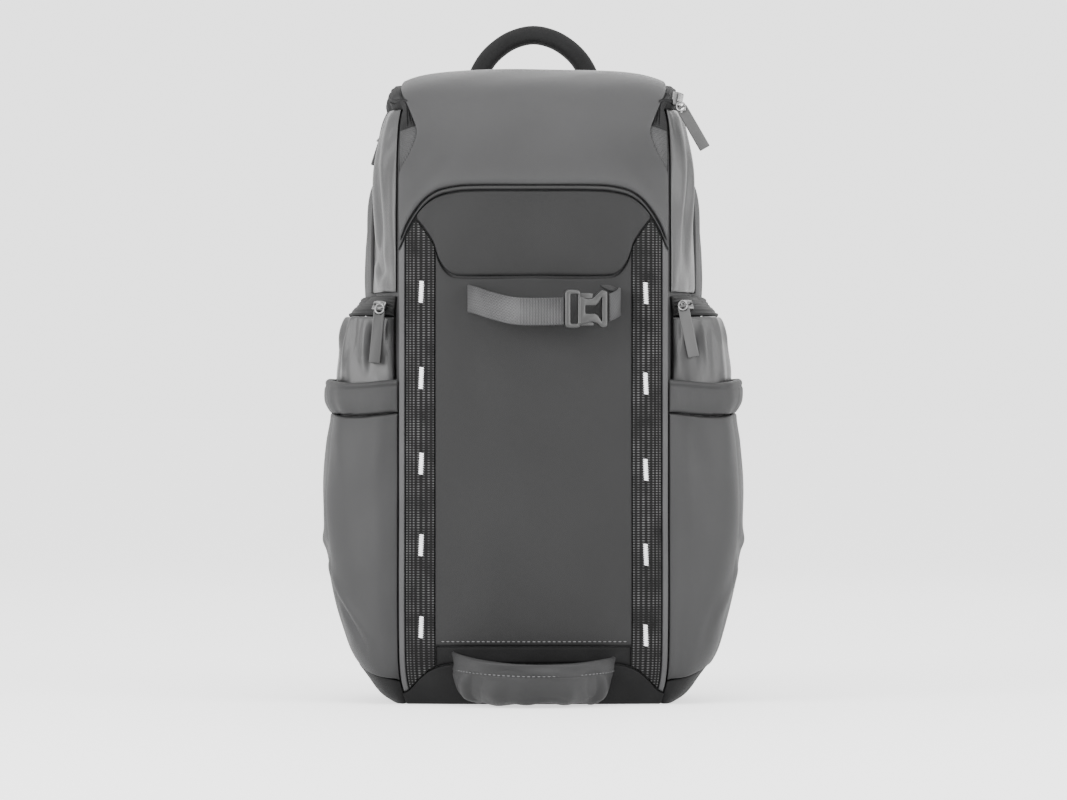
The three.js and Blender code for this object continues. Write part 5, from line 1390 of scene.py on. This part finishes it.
pad_mesh = woven("pad_mesh", 0.006, 0.014, pitch=0.0030, relief=0.0008, roughness=0.85, upright=True)


def pressed(piece, change):
    """Move the mesh's points by change(points), as seams and channels sewn in at the end do."""
    at = coordinates(piece.data)
    piece.data.vertices.foreach_set("co", change(at).ravel())
    piece.data.update()


def pad_surface(u, v):
    """A rectangle on the back whose corners draw in with the sixth power of the height."""
    corner = 1 - 0.1 * (2 * v - 1) ** 6
    return points(mix(-PAD_HALF_WIDTH, PAD_HALF_WIDTH, u) * corner, BACK_DEPTH, mix(PAD_BOTTOM, PAD_TOP, v))


def channels(at):
    """Two upright channels and three level ones between them, pressed into the pad as bell curves;
    its other side stays flat against the back."""
    x, y, z = at.T
    upright = sum(np.exp(-((x - side * PAD_CHANNEL_X) / PAD_CHANNEL_WIDTH) ** 2) for side in (-1, 1))
    level_ones = sum(np.exp(-((z - height) / PAD_CHANNEL_WIDTH) ** 2) for height in PAD_CHANNEL_Z)
    between = 1 - smooth_step(np.abs(x), PAD_CHANNEL_X - 0.003, PAD_CHANNEL_X)
    depth = 0.45 * np.maximum(upright, level_ones * between)
    return points(x, np.maximum(mix(y, BACK_DEPTH, depth), BACK_DEPTH + GAP), z)


pad = panel("pad", pad_surface, (100, 150), PAD_THICKNESS * 0.86, pad_mesh, ["back_pad"],
            lift=GAP, edge=0.010)
pressed(pad, channels)


def shoulder_middle(side, t):
    """The strap's middle line, out from the upper back and down by the shares of its route."""
    off, across, _ = shoulder_route(t)
    x = side * mix(SHOULDER_TOP_X, SHOULDER_END_X, across)
    return points(x, back_face + off * SHOULDER_STAND_OFF, mix(SHOULDER_TOP_HEIGHT, SHOULDER_END_HEIGHT, t))


def shoulder_surface(side):
    """The strap's inner face, level across."""
    def surface(u, v):
        line = shoulder_middle(side, v)
        line[..., 0] += mix(-1, 1, u) * shoulder_route(v)[2] * SHOULDER_HALF_WIDTH
        return line
    return surface


def binding_groove(side):
    """A row of stitches inside both edges pulls the foam in as a bell curve."""
    def change(at):
        t = np.clip((SHOULDER_TOP_HEIGHT - at[:, 2]) / (SHOULDER_TOP_HEIGHT - SHOULDER_END_HEIGHT), 0, 1)
        middle = shoulder_middle(side, t)
        half = shoulder_route(t)[2] * SHOULDER_HALF_WIDTH
        inside = half - np.abs(at[:, 0] - middle[:, 0])
        core_y = middle[:, 1] + SHOULDER_THICKNESS / 2
        groove = 0.35 * np.exp(-((inside - 0.0075) / 0.0018) ** 2)
        return points(at[:, 0], mix(at[:, 1], core_y, groove), at[:, 2])
    return change


def webbing_surface(side):
    """A straight run from the pad's end, through the adjuster, to the body's lower corner."""
    start = shoulder_middle(side, np.array(1.0)) + (0, SHOULDER_THICKNESS * 0.3, 0.004)
    end = np.array((side * TAIL_FOOT_X, BACK_DEPTH + GAP, TAIL_FOOT_HEIGHT))

    def surface(u, v):
        line = start + (end - start) * v[..., None]
        line[..., 0] += mix(-TAIL_HALF_WIDTH, TAIL_HALF_WIDTH, u)
        return line
    return surface


LADDER_ACROSS = np.array((-1.0, 0, 0))
LADDER_UP = np.array((0, 0, 1.0))
# The ladder's outline and its two slots, in millimetres from its middle.
LADDER = [(-15.5, -6.0), (15.5, -6.0), (15.5, 6.0), (-15.5, 6.0)]
LADDER_SLOTS = [
    [(-12.9, -4.2), (12.9, -4.2), (12.9, -1.4), (-12.9, -1.4)],
    [(-12.9, 1.4), (12.9, 1.4), (12.9, 4.2), (-12.9, 4.2)],
]
dark_webbing = woven("dark_webbing", 0.005, 0.013, pitch=0.0024, relief=0.0006, roughness=0.7)
for side, name in ((-1, "left"), (1, "right")):
    strap = panel(f"shoulder_pad_{name}", shoulder_surface(side), (40, 120), SHOULDER_THICKNESS * 0.86,
                  pad_mesh, [f"shoulder_strap_{name}"], edge=0.007)
    pressed(strap, binding_groove(side))
    panel(f"shoulder_webbing_{name}", webbing_surface(side), (20, 60), TAIL_THICKNESS, dark_webbing,
          [f"strap_webbing_{name}"], edge=0.0007)
    ladder_middle = shoulder_middle(side, np.array(1.0)) - (0, -0.001, ADJUSTER_DROP + ADJUSTER_LENGTH / 2)
    ladder_loops = [rounded(LADDER, 2.0)] + [rounded(slot, 0.8) for slot in LADDER_SLOTS]
    flat_moulding(f"ladder_{name}", ladder_loops, 0.0050, 0.0012, ladder_middle, LADDER_ACROSS, LADDER_UP,
                  dark_plastic, [f"adjuster_{name}"])
